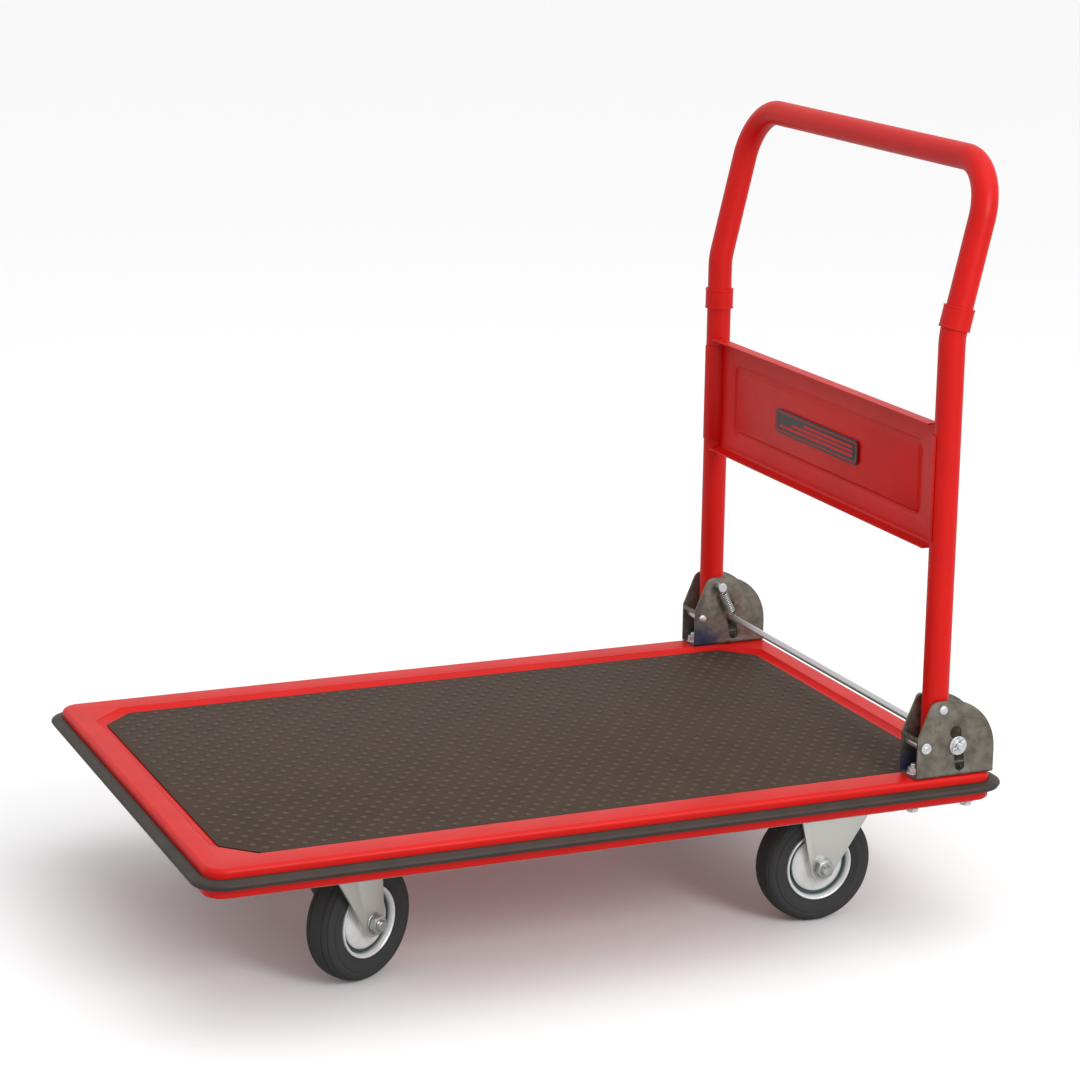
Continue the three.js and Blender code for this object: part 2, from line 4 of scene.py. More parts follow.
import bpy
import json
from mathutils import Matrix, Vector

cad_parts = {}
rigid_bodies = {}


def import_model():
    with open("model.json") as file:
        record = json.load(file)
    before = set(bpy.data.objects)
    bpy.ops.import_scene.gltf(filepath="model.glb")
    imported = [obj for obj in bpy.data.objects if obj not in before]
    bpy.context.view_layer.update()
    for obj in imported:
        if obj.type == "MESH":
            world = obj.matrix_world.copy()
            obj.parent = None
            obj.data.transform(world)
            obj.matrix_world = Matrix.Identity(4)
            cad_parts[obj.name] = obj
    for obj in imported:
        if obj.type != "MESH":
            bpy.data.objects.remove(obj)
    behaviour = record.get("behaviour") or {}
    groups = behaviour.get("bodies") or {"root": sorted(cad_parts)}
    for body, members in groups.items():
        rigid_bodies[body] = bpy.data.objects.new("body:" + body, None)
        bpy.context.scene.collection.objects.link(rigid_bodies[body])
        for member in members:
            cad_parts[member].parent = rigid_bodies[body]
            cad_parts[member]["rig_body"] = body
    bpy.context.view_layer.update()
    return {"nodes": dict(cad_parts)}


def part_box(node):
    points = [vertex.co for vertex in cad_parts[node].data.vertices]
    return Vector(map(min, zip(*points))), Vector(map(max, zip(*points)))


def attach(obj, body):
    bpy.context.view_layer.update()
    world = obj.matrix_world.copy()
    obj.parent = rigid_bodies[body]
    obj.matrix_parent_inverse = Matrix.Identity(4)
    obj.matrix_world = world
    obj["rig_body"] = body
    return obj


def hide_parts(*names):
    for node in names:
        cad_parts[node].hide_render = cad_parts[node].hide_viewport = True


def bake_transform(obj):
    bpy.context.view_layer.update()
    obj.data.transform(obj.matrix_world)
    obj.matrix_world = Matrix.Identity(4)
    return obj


bl_info = {
    "name": "Folding Platform Cart",
    "version": (1, 0, 0),
    "blender": (4, 5, 0),
    "location": "View3D > Sidebar > Cart",
    "description": "Builds a folding platform cart with its casters, hinge brackets and handle",
    "category": "Add Mesh",
}

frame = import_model()

import json
from math import atan2, ceil, cos, hypot, pi, radians, sin, sqrt, tan

import bmesh
import bpy
from mathutils import Matrix, Vector

# Places are worked out in millimetres; a finished piece is scaled to metres.
MM = 0.001
SIDES = (("left", -1), ("right", 1))
HUSH = 0.005  # points closer than this are one point


def corners(node):
    low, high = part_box(node)
    return low / MM, high / MM


def middle(node):
    low, high = corners(node)
    return (low + high) / 2


def shade(red, green, blue):
    """A colour given as a screen shows it, 0 to 255, in the renderer's linear values."""
    share = [value / 255 for value in (red, green, blue)]
    return tuple(s / 12.92 if s <= 0.04045 else ((s + 0.055) / 1.055) ** 2.4 for s in share)


# Sizes and colours that a user may change ---------------------------------------------------


def length(name, description, default):
    return bpy.props.FloatProperty(
        name=name, description=description, default=default, min=0.0, precision=4, unit="LENGTH"
    )


def colour(name, description, default):
    return bpy.props.FloatVectorProperty(
        name=name, description=description, default=default, min=0.0, max=1.0, size=3, subtype="COLOR"
    )


class CartSizes(bpy.types.PropertyGroup):
    """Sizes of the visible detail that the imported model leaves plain."""

    edge_round: length("Deck edge", "Radius of the deck's pressed top edge", 0.005)
    stud_pitch: length("Stud pitch", "Distance between studs along the deck", 0.0206)
    stud_row: length("Stud rows", "Distance between neighbouring rows of studs", 0.01335)
    stud_radius: length("Stud radius", "Radius of one stud on the mat", 0.0042)
    stud_height: length("Stud height", "Height of one stud above the mat", 0.0009)
    groove_width: length("Panel groove", "Width of the groove pressed round the panel", 0.010)
    groove_depth: length("Groove depth", "Depth of the groove pressed round the panel", 0.0022)
    spring_wire: length("Spring wire", "Radius of the lock springs' wire", 0.0008)
    thread_pitch: length("Thread pitch", "Pitch of the threads on the bolt ends", 0.00125)
    weld_bead: length("Weld bead", "Radius of the weld beads on the casters", 0.0016)


class CartColours(bpy.types.PropertyGroup):
    """Colours of the finishes."""

    enamel: colour("Enamel", "Red enamel of the deck and the handle", shade(208, 16, 9))
    mat: colour("Mat", "Studded rubber mat", shade(67, 53, 43))
    bumper: colour("Bumper", "Rubber strip round the deck", shade(56, 48, 42))
    tyre: colour("Tyre", "Solid rubber of the wheels", shade(74, 74, 76))
    bracket: colour("Bracket zinc", "Dull zinc of the hinge brackets", shade(112, 105, 92))
    bright: colour("Bright zinc", "Bright zinc of the rod, the rims and the rivets", shade(234, 235, 234))
    caster: colour("Caster zinc", "Pale zinc of the caster forks", shade(240, 238, 230))
    hardware: colour("Bolt zinc", "Zinc of the axle bolts and the springs", shade(186, 188, 186))
    label: colour("Label", "Black plate on the handle's panel", shade(22, 20, 20))
    bronze: colour("Bronze", "Wheel bushes", shade(176, 132, 78))


class CartStage(bpy.types.PropertyGroup):
    """Camera, floor and lights."""

    camera_place: bpy.props.FloatVectorProperty(
        name="Camera",
        description="Where the camera stands",
        default=(-1.2652, -3.0452, 1.2445),
        subtype="TRANSLATION",
        unit="LENGTH",
    )
    azimuth: bpy.props.FloatProperty(
        name="Azimuth", description="Direction of view, from +Y", default=radians(-23.01), unit="ROTATION"
    )
    elevation: bpy.props.FloatProperty(
        name="Elevation", description="Height of view above level", default=radians(14.13), unit="ROTATION"
    )
    roll: bpy.props.FloatProperty(
        name="Roll", description="Roll of the camera", default=radians(0.82), unit="ROTATION"
    )
    lens: bpy.props.FloatProperty(
        name="Lens", description="Focal length on a 36 mm wide sensor", default=101.97, min=1.0
    )
    floor: colour("Floor", "Pale studio floor", shade(250, 250, 250))
    glow: bpy.props.FloatProperty(
        name="Surround", description="Brightness of the surround as a light", default=0.8, min=0.0
    )


def sizes():
    return bpy.context.scene.cart_sizes


def colours():
    return bpy.context.scene.cart_colours


# Shader sums ----------------------------------------------------------------------------------


class Signal:
    """A node's output that takes part in Python sums; each sum adds its Math node."""

    def __init__(self, recipe, socket):
        self.recipe = recipe
        self.socket = socket

    def maths(self, operation, first, second):
        return self.recipe.node("ShaderNodeMath", {"operation": operation}, {0: first, 1: second})

    def __add__(self, other):
        return self.maths("ADD", self, other)

    def __sub__(self, other):
        return self.maths("SUBTRACT", self, other)

    def __rsub__(self, other):
        return self.maths("SUBTRACT", other, self)

    def __mul__(self, other):
        return self.maths("MULTIPLY", self, other)

    __radd__ = __add__
    __rmul__ = __mul__


class Recipe:
    """One finish: its material, and the nodes that vary it over a surface."""

    def __init__(self, name):
        self.material = bpy.data.materials.new(name)
        self.material.use_nodes = True
        self.tree = self.material.node_tree
        self.shader = self.tree.nodes["Principled BSDF"]

    def node(self, kind, settings=None, values=None, out=0):
        made = self.tree.nodes.new(kind)
        for key, value in (settings or {}).items():
            setattr(made, key, value)
        for key, value in (values or {}).items():
            self.feed(made.inputs[key], value)
        return Signal(self, made.outputs[out])

    def feed(self, socket, value):
        if isinstance(value, Signal):
            self.tree.links.new(value.socket, socket)
        else:
            socket.default_value = value

    def set(self, **values):
        """Sets the shader's sockets; a name's underscores stand for spaces."""
        for key, value in values.items():
            if key == "Base_Color" and not isinstance(value, Signal):
                value = (*value, 1.0)
            self.feed(self.shader.inputs[key.replace("_", " ")], value)

    def place(self, stretch=(1.0, 1.0, 1.0)):
        """The point on the piece, in metres, stretched along the axes."""
        at = self.node("ShaderNodeTexCoord", out="Object")
        return self.node("ShaderNodeMapping", None, {"Vector": at, "Scale": stretch})

    def axis(self, name):
        at = self.node("ShaderNodeTexCoord", out="Object")
        return self.node("ShaderNodeSeparateXYZ", None, {"Vector": at}, out=name)

    def noise(self, grain, detail=3.0, stretch=(1.0, 1.0, 1.0), roughness=0.55):
        """Cloudy 0 to 1 variation whose lumps are about grain metres across."""
        values = {"Vector": self.place(stretch), "Scale": 1 / grain, "Detail": detail, "Roughness": roughness}
        return self.node("ShaderNodeTexNoise", None, values)

    def between(self, value, low, high):
        """0 below low, 1 above high and a smooth rise between them."""
        settings = {"interpolation_type": "SMOOTHSTEP"}
        values = {"Value": value, "From Min": low, "From Max": high}
        return self.node("ShaderNodeMapRange", settings, values)

    def mix(self, share, first, second):
        """first where share is 0 and second where it is 1; both are colours."""
        first, second = ((*c, 1.0) if isinstance(c, tuple) else c for c in (first, second))
        values = {"Factor": share, 6: first, 7: second}
        return self.node("ShaderNodeMix", {"data_type": "RGBA"}, values, out=2)

    def bump(self, height, distance, strength=1.0, onto=None):
        values = {"Height": height, "Distance": distance, "Strength": strength}
        if onto is not None:
            values["Normal"] = onto
        return self.node("ShaderNodeBump", None, values)


def dimmed(tint, share):
    return tuple(channel * share for channel in tint)


def blended(tint, other, share):
    return tuple(a + (b - a) * share for a, b in zip(tint, other))


# Finishes -------------------------------------------------------------------------------------


def red_enamel():
    """Satin stove enamel with a faint orange peel, slow shade changes and a few fine scuffs."""
    recipe = Recipe("red_enamel")
    base = tuple(colours().enamel)
    clouds = recipe.noise(0.09, 4)
    tint = recipe.mix(recipe.between(clouds, 0.3, 0.7), dimmed(base, 0.9), base)
    scuffs = recipe.between(recipe.noise(0.004, 6, (0.25, 1.0, 1.0), 0.8), 0.73, 0.78)
    scuffs = scuffs * recipe.between(recipe.noise(0.16, 2), 0.52, 0.62)
    tint = recipe.mix(scuffs * 0.6, tint, blended(base, shade(250, 150, 130), 0.55))
    peel = recipe.noise(0.0022, 2)
    smears = recipe.noise(0.03, 5, (1.0, 1.0, 0.4))
    normal = recipe.bump(peel, 0.00003, 0.6)
    rough = 0.34 + smears * 0.12 + scuffs * 0.2
    recipe.set(Base_Color=tint, Roughness=rough, Normal=normal)
    recipe.set(Specular_IOR_Level=0.22)
    return recipe.material


def mat_rubber():
    """Matt brown-grey rubber; the stud tops carry a painted highlight, a little lighter, and are a little
    smoother.
    """
    recipe = Recipe("mat_rubber")
    base = tuple(colours().mat)
    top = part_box("deck_mat")[1].z
    # studs masks the stud tops: it carries their painted highlight and lowers their roughness
    studs = recipe.between(recipe.axis("Z"), top - 0.0007, top - 0.0001)
    clouds = recipe.noise(0.05, 5)
    tint = recipe.mix(recipe.between(clouds, 0.25, 0.75), dimmed(base, 0.86), dimmed(base, 1.08))
    # painted highlight: the stud tops are mixed towards a paler colour
    tint = recipe.mix(studs * 0.25, tint, blended(base, shade(150, 140, 128), 0.35))
    dust = recipe.between(recipe.noise(0.0016, 4), 0.55, 0.8)
    tint = recipe.mix(dust * 0.18, tint, shade(112, 104, 94))
    grain = recipe.noise(0.0009, 3)
    normal = recipe.bump(grain, 0.00012, 0.5)
    recipe.set(Base_Color=tint, Roughness=0.62 + clouds * 0.16 - studs * 0.08, Normal=normal)
    recipe.set(Specular_IOR_Level=0.22)
    return recipe.material


def bumper_rubber():
    """Extruded rubber strip, a little smoother than the mat, with fine grain."""
    recipe = Recipe("bumper_rubber")
    base = tuple(colours().bumper)
    clouds = recipe.noise(0.035, 5)
    tint = recipe.mix(recipe.between(clouds, 0.3, 0.7), dimmed(base, 0.84), dimmed(base, 1.1))
    streaks = recipe.noise(0.0025, 3, (0.1, 0.1, 1.0))
    normal = recipe.bump(recipe.noise(0.0011, 2), 0.00008, 0.5)
    normal = recipe.bump(streaks, 0.00010, 0.5, normal)
    recipe.set(Base_Color=tint, Roughness=0.44 + streaks * 0.16, Normal=normal)
    recipe.set(Specular_IOR_Level=0.3)
    return recipe.material


def tyre_rubber():
    """Grey solid rubber with fine moulding rings; browner and darker on the shoulders."""
    recipe = Recipe("tyre_rubber")
    base = tuple(colours().tyre)
    reach = recipe.node("ShaderNodeAttribute", {"attribute_name": "reach"}, out="Fac")
    shoulder = recipe.between(reach, 0.0545, 0.0560) * (1 - recipe.between(reach, 0.0632, 0.0650))
    clouds = recipe.noise(0.02, 5)
    tint = recipe.mix(recipe.between(clouds, 0.3, 0.7), dimmed(base, 0.75), dimmed(base, 1.15))
    tint = recipe.mix(shoulder * 0.7, tint, shade(44, 36, 33))
    rings = recipe.node("ShaderNodeMath", {"operation": "SINE"}, {0: reach * (2 * pi / 0.0013)})
    wobble = recipe.noise(0.006, 4)
    rings = (rings * 0.5 + 0.5) * wobble
    tint = recipe.mix(recipe.between(rings, 0.3, 0.7) * 0.35, tint, shade(96, 96, 98))
    normal = recipe.bump(rings, 0.00022, 0.7)
    normal = recipe.bump(recipe.noise(0.0012, 3), 0.0001, 0.5, normal)
    recipe.set(Base_Color=tint, Roughness=0.58 + wobble * 0.2, Normal=normal)
    recipe.set(Specular_IOR_Level=0.4)
    return recipe.material


def zinc(name, tint, mottle, rough, patch=0.014, metal=0.92):
    """Zinc plate: cloudy tone, fine drawing lines and small dark specks. mottle is the clouds' strength."""
    recipe = Recipe(name)
    clouds = recipe.between(recipe.noise(patch, 6, roughness=0.65), 0.3, 0.72)
    specks = recipe.between(recipe.noise(patch * 0.12, 4), 0.58, 0.75)
    shadeful = recipe.mix(clouds, dimmed(tint, 1 - mottle), blended(tint, (1, 1, 1), mottle * 0.3))
    shadeful = recipe.mix(specks * (0.5 * mottle), shadeful, dimmed(tint, 0.5))
    lines = recipe.noise(0.0012, 3, (1.0, 1.0, 0.06))
    normal = recipe.bump(lines, 0.00004, 0.4)
    normal = recipe.bump(clouds, 0.00008, 0.25, normal)
    recipe.set(Base_Color=shadeful, Roughness=rough + clouds * 0.12 + lines * 0.08, Normal=normal)
    recipe.set(Metallic=metal - specks * 0.2)
    return recipe, shadeful


def bracket_zinc():
    """Dull, warm, mottled zinc with a blue bloom left by the plating bath low on the front."""
    recipe, tone = zinc("bracket_zinc", tuple(colours().bracket), 0.24, 0.36, 0.012, 0.8)
    front = corners("hinge_bracket_left")[0].x * MM
    foot = corners("hinge_bracket_left")[0].z * MM
    drift = recipe.noise(0.03, 3) * 0.03
    low = 1 - recipe.between(recipe.axis("Z") + drift, foot + 0.022, foot + 0.052)
    fore = 1 - recipe.between(recipe.axis("X") + drift, front + 0.030, front + 0.060)
    across = recipe.node("ShaderNodeMath", {"operation": "ABSOLUTE"}, {0: recipe.axis("Y")})
    inner = 1 - recipe.between(across, 0.2625, 0.264)
    bloom = low * fore * inner
    recipe.set(Base_Color=recipe.mix(bloom * 0.85, tone, shade(52, 62, 104)))
    return recipe.material


def bright_zinc():
    return zinc("bright_zinc", tuple(colours().bright), 0.14, 0.2, 0.01, 0.6)[0].material


def caster_zinc():
    return zinc("caster_zinc", tuple(colours().caster), 0.12, 0.38, 0.012, 0.15)[0].material


def axle_zinc():
    return zinc("axle_zinc", tuple(colours().hardware), 0.25, 0.26, 0.006, 0.8)[0].material


def rim_zinc():
    """Pressed wheel disc: pale zinc, coloured dark blue-green in its deep groove."""
    recipe, tone = zinc("rim_zinc", tuple(colours().bright), 0.12, 0.26, 0.01, 0.3)
    reach = recipe.node("ShaderNodeAttribute", {"attribute_name": "reach"}, out="Fac")
    groove = recipe.between(reach, 0.0306, 0.0316) * (1 - recipe.between(reach, 0.0346, 0.0362))
    recipe.set(Base_Color=recipe.mix(groove * 0.92, tone, shade(18, 56, 60)))
    return recipe.material


def bush_bronze():
    return zinc("bush_bronze", tuple(colours().bronze), 0.3, 0.32, 0.006)[0].material


def black_label():
    """Satin black print on a thin plate."""
    recipe = Recipe("black_label")
    base = tuple(colours().label)
    clouds = recipe.noise(0.012, 4)
    tint = recipe.mix(clouds, base, blended(base, (1, 1, 1), 0.02))
    normal = recipe.bump(recipe.noise(0.0012, 2), 0.00003, 0.4)
    recipe.set(Base_Color=tint, Roughness=0.36 + clouds * 0.14, Normal=normal)
    return recipe.material


def floor_paint():
    """Pale to look at, but it throws back only part of the light, so that undersides stay dark."""
    recipe = Recipe("floor_paint")
    base = tuple(bpy.context.scene.cart_stage.floor)
    seen = recipe.node("ShaderNodeLightPath", out="Is Camera Ray")
    recipe.set(Base_Color=recipe.mix(seen, dimmed(base, 0.6), base), Roughness=0.8)
    recipe.set(Specular_IOR_Level=0.1)
    return recipe.material


FINISHES = {
    "red_paint": red_enamel,
    "deck_mat": mat_rubber,
    "edge_bumper": bumper_rubber,
    "tyre_rubber": tyre_rubber,
    "zinc_plate": bracket_zinc,
    "bright_zinc": bright_zinc,
    "caster_zinc": caster_zinc,
    "axle_hardware": axle_zinc,
    "panel_badge": black_label,
    "bronze_bush": bush_bronze,
}


def finish_of(slot, maker=None):
    """The material of a slot, made once."""
    maker = maker or FINISHES[slot]
    return bpy.data.materials.get(maker.__name__) or maker()


# Outlines -------------------------------------------------------------------------------------


def rounded(points, closed=True, finest=radians(9)):
    """An outline through corners (x, y, radius), each corner replaced by its arc."""
    outline = []
    last = len(points) - 1
    for i, (x, y, radius) in enumerate(points):
        here = Vector((x, y))
        if radius == 0 or (not closed and i in (0, last)):
            outline.append(tuple(here))
            continue
        back = (Vector(points[i - 1][:2]) - here).normalized()
        onward = (Vector(points[(i + 1) % len(points)][:2]) - here).normalized()
        half = back.angle(onward) / 2
        centre = here + (back + onward).normalized() * (radius / sin(half))
        spoke = here + back * (radius / tan(half)) - centre
        turn = (pi - 2 * half) * (1 if back.cross(onward) < 0 else -1)
        steps = max(2, ceil(abs(turn) / finest))
        for k in range(steps + 1):
            outline.append(tuple(centre + Matrix.Rotation(turn * k / steps, 2) @ spoke))
    return outline


def arc(x, y, radius, start, end, finest=radians(9)):
    steps = max(2, ceil(abs(end - start) / finest))
    angles = [start + (end - start) * k / steps for k in range(steps + 1)]
    return [(x + radius * cos(a), y + radius * sin(a)) for a in angles]


def circle(x, y, radius):
    return arc(x, y, radius, 0, 2 * pi, radians(12))[:-1]


def soft_box(x0, y0, x1, y1, radius):
    return rounded([(x0, y0, radius), (x1, y0, radius), (x1, y1, radius), (x0, y1, radius)])


# Mesh tools -----------------------------------------------------------------------------------

UP = Vector((0, 0, 1))
ALONG_X = Matrix(((0, 0, 1, 0), (1, 0, 0, 0), (0, 1, 0, 0), (0, 0, 0, 1)))  # a sketch in (y, z)
ALONG_Y = Matrix(((1, 0, 0, 0), (0, 0, -1, 0), (0, 1, 0, 0), (0, 0, 0, 1)))  # a sketch in (x, z)


def chain(part, points, closed=True):
    """Joins points with edges."""
    verts = [part.verts.new(point) for point in points]
    pairs = list(zip(verts, verts[1:])) + ([(verts[-1], verts[0])] if closed else [])
    return [part.edges.new(pair) for pair in pairs]


def ends(edges):
    return list({vert for edge in edges for vert in edge.verts})


def newest(found):
    """The edges of an operator's result that join its new points."""
    verts = {item for item in found if isinstance(item, bmesh.types.BMVert)}
    return [e for e in found if isinstance(e, bmesh.types.BMEdge) and set(e.verts) <= verts]


def extruded(part, edges):
    return newest(bmesh.ops.extrude_edge_only(part, edges=edges)["geom"])


def moved(part, matrix):
    bmesh.ops.transform(part, matrix=matrix, verts=part.verts[:])
    return part


def at(x, y, z):
    return Matrix.Translation((x, y, z))


def about(axis, angle):
    return Matrix.Rotation(angle, 4, axis)


def plate(outline, low, high, holes=()):
    """A flat sheet inside an outline, from one height to another."""
    part = bmesh.new()
    edges = []
    for points in (outline, *holes):
        edges += chain(part, [(x, y, low) for x, y in points])
    bmesh.ops.triangle_fill(part, use_beauty=True, use_dissolve=False, edges=edges)
    bmesh.ops.dissolve_limit(
        part, angle_limit=radians(0.5), verts=part.verts[:], edges=part.edges[:]
    )
    grown = bmesh.ops.extrude_face_region(part, geom=part.faces[:])["geom"]
    verts = [item for item in grown if isinstance(item, bmesh.types.BMVert)]
    bmesh.ops.translate(part, vec=(0, 0, high - low), verts=verts)
    return part


def plate_y(outline, low, high, holes=()):
    """A sheet whose outline is drawn in (x, z) and whose thickness lies along Y."""
    return moved(plate(outline, -high, -low, holes), ALONG_Y)


def plate_x(outline, low, high, holes=()):
    """A sheet whose outline is drawn in (y, z) and whose thickness lies along X."""
    return moved(plate(outline, low, high, holes), ALONG_X)


def lathe(profile, sides=64, closed=True):
    """Spins a profile of (radius, height) about the Z axis. An open one starts and ends on it."""
    part = bmesh.new()
    chain(part, [(radius, 0, height) for radius, height in profile], closed)
    bmesh.ops.spin(
        part, geom=part.verts[:] + part.edges[:], cent=(0, 0, 0), axis=UP, dvec=(0, 0, 0),
        angle=2 * pi, steps=sides, use_merge=True, use_normal_flip=False, use_duplicate=False,
    )
    bmesh.ops.remove_doubles(part, verts=part.verts[:], dist=HUSH)
    return part


def lathe_y(profile, x, y, z, way=1, sides=64, closed=True):
    """A turned piece about a line along Y; its heights run from y to the way it faces."""
    turn = about("X", -pi / 2 * way)
    return moved(lathe(profile, sides, closed), at(x, y, z) @ turn)


def threaded(radius, start, end):
    """Rings (radius, height) of a screw thread from start to end, with a chamfered tip."""
    pitch = sizes().thread_pitch / MM
    turns = max(1, int((end - start - 1.2) / pitch))
    rings = []
    for k in range(turns):
        rings += [(radius, start + (k + 0.25) * pitch), (radius - 0.62 * pitch, start + (k + 0.75) * pitch)]
    rings += [(radius, start + (turns + 0.1) * pitch), (radius, end - 0.9), (radius - 0.9, end)]
    return rings


def hexagon(flats, height, tail=(), bore=0.0):
    """A hexagon from 0 to height with chamfered corners, going on through round rings."""
    part = bmesh.new()
    land = 0.475 * flats

    def flank(angle):
        return flats / 2 / cos(angle % (pi / 3) - pi / 6)

    def drop(angle):
        return (flank(angle) - land) * tan(radians(30))

    rings = [
        (lambda a: land, lambda a: 0.0),
        (flank, drop),
        (flank, lambda a: height - drop(a)),
        (lambda a: land, lambda a: height),
    ]
    rings += [(lambda a, r=radius: r, lambda a, z=level: z) for radius, level in tail]
    bmesh.ops.create_circle(part, cap_ends=False, radius=1.0, segments=36)
    edges = part.edges[:]
    for i, (radius, level) in enumerate(rings):
        edges = extruded(part, edges) if i else edges
        for vert in ends(edges):
            angle = atan2(vert.co.y, vert.co.x) % (2 * pi)
            vert.co = (radius(angle) * cos(angle), radius(angle) * sin(angle), level(angle))
    if bore:
        mouth = extruded(part, edges)
        for vert in ends(mouth):
            vert.co.xy = vert.co.xy.normalized() * bore
        throat = extruded(part, mouth)
        bmesh.ops.translate(part, vec=(0, 0, -height), verts=ends(throat))
        foot = [edge for edge in part.edges if edge.is_boundary]
        bmesh.ops.bridge_loops(part, edges=foot)
    else:
        bmesh.ops.holes_fill(part, edges=part.edges[:], sides=0)
    return part


def draw(part, edges, here, heading, moves, finest=radians(6)):
    """Pulls a section along moves. A move is a run (length,) or a turn (radius, angle, axis, climb)."""
    here = Vector(here)
    heading = Vector(heading).normalized()
    for move in moves:
        if len(move) == 1:
            edges = extruded(part, edges)
            bmesh.ops.translate(part, vec=heading * move[0], verts=ends(edges))
            here = here + heading * move[0]
            continue
        radius, angle, axis = move[:3]
        axis = Vector(axis).normalized()
        climb = axis * (move[3] if len(move) > 3 else 0.0)
        centre = here + axis.cross(heading) * radius
        steps = max(2, ceil(angle / finest))
        spun = bmesh.ops.spin(
            part, geom=ends(edges) + edges, cent=centre, axis=axis, dvec=climb / steps,
            angle=angle, steps=steps, use_merge=False, use_normal_flip=False, use_duplicate=False,
        )
        edges = newest(spun["geom_last"])
        turn = Matrix.Rotation(angle, 3, axis)
        here = centre + turn @ (here - centre) + climb
        heading = turn @ heading
    return edges


def route(points, radii):
    """The moves along straight stretches between points, with each inner corner rounded."""
    moves = []
    spent = 0.0
    for before, corner, after, radius in zip(points, points[1:], points[2:], radii):
        ahead, onward = corner - before, after - corner
        turn = ahead.angle(onward)
        reach = radius * tan(turn / 2)
        moves.append((ahead.length - spent - reach,))
        moves.append((radius, turn, ahead.cross(onward)))
        spent = reach
    moves.append(((points[-1] - points[-2]).length - spent,))
    return moves


def ring_at(part, radius, here, heading, sides):
    turn = Vector(heading).to_track_quat("Z", "Y").to_matrix().to_4x4()
    made = bmesh.ops.create_circle(
        part, cap_ends=False, radius=radius, segments=sides, matrix=Matrix.Translation(here) @ turn
    )
    return list({edge for vert in made["verts"] for edge in vert.link_edges})


def wire(radius, here, heading, moves, sides=10, finest=radians(12)):
    """A round wire along moves, closed at both ends."""
    part = bmesh.new()
    draw(part, ring_at(part, radius, here, heading, sides), here, heading, moves, finest)
    bmesh.ops.holes_fill(part, edges=part.edges[:], sides=0)
    return part


def round_the_deck(section, half_length, half_width, corner):
    """Pulls a section of (distance in, height) round a rectangle with rounded corners."""
    part = bmesh.new()
    edges = chain(part, [(0, depth - half_width, height) for depth, height in section["points"]],
                  section["closed"])
    straight = {0: half_length - corner, 1: 2 * (half_width - corner), 2: 2 * (half_length - corner)}
    moves = []
    for run in (straight[0], straight[1], straight[2], straight[1]):
        moves += [(run,), (corner, pi / 2, UP)]
    draw(part, edges, (0, -half_width, 0), (1, 0, 0), moves + [(straight[0],)])
    bmesh.ops.remove_doubles(part, verts=part.verts[:], dist=HUSH)
    return part


def softened(part, width, segments=2, sharper=radians(30), skip=None):
    """Rounds the part's sharp edges, except those that skip picks."""
    bmesh.ops.recalc_face_normals(part, faces=part.faces[:])
    edges = [e for e in part.edges if e.is_manifold and e.calc_face_angle(0) > sharper]
    edges = [e for e in edges if not (skip and skip(e))]
    bmesh.ops.bevel(
        part, geom=edges, offset=width, offset_type="OFFSET", segments=segments,
        profile=0.5, affect="EDGES", clamp_overlap=True, material=-1,
    )
    return part


def piece(name, parts, body, slot, replaces=(), maker=None, smooth=radians(32), axle=None):
    """Joins parts into one finished piece, rides it on a body and gives it its finish.
    axle is a point and a direction; each vertex then keeps its distance from that line."""
    mesh = bpy.data.meshes.new(name)
    whole = bmesh.new()
    for part in parts:
        bmesh.ops.remove_doubles(part, verts=part.verts[:], dist=HUSH)
        bmesh.ops.recalc_face_normals(part, faces=part.faces[:])
        part.to_mesh(mesh)
        part.free()
        whole.from_mesh(mesh)
    bmesh.ops.scale(whole, vec=(MM, MM, MM), verts=whole.verts[:])
    whole.to_mesh(mesh)
    whole.free()
    mesh.shade_smooth()
    mesh.set_sharp_from_angle(angle=smooth)
    if axle:
        centre, line = axle[0] * MM, axle[1].normalized()
        offsets = [vert.co - centre for vert in mesh.vertices]
        reach = mesh.attributes.new("reach", "FLOAT", "POINT")
        reach.data.foreach_set("value", [(o - line * o.dot(line)).length for o in offsets])
    mesh.materials.append(finish_of(slot, maker))
    made = bpy.data.objects.new(name, mesh)
    bpy.context.scene.collection.objects.link(made)
    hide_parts(*replaces)
    if body:
        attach(made, body)
    return made


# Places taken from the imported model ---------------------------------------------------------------

DECK_LOW, DECK_HIGH = corners("deck_pan")
MAT_LOW, MAT_HIGH = corners("deck_mat")
BUMPER_LOW, BUMPER_HIGH = corners("edge_bumper")
PIVOT = middle("pivot_pin_left")
ROD = middle("release_rod")
STOP = middle("stop_pin_left")
HANDLE_HIGH = corners("handle_tube")[1]
LEG_Y = middle("collar_right").y
LEG_X = middle("collar_right").x
TUBE = 14.45
WHEEL = (corners("tyre_rear_left")[1].z - corners("tyre_rear_left")[0].z) / 2
MAT_CLIP = 35.0
TRAY_FLOOR = MAT_LOW.z - 0.3
DECK_CORNER = 22.0
LEG_CLEAR = 41.5  # the legs end on an arc of this radius about the pivot
LEAN = radians(13.3)  # how far the handle's upper part leans back
PLATE_SPOTS = [(sx * 40.0, sy * 30.0) for sx in (-1, 1) for sy in (-1, 1)]
FORK_FOLD = radians(14)
FORK_SHEET = 3.0


# Deck, mat and bumper --------------------------------------------------------------------------


def clipped(x, y, clip):
    """A rectangle with its corners cut off."""
    return [(x, y - clip), (x - clip, y), (clip - x, y), (-x, y - clip),
            (-x, clip - y), (clip - x, -y), (x - clip, -y), (x, clip - y)]


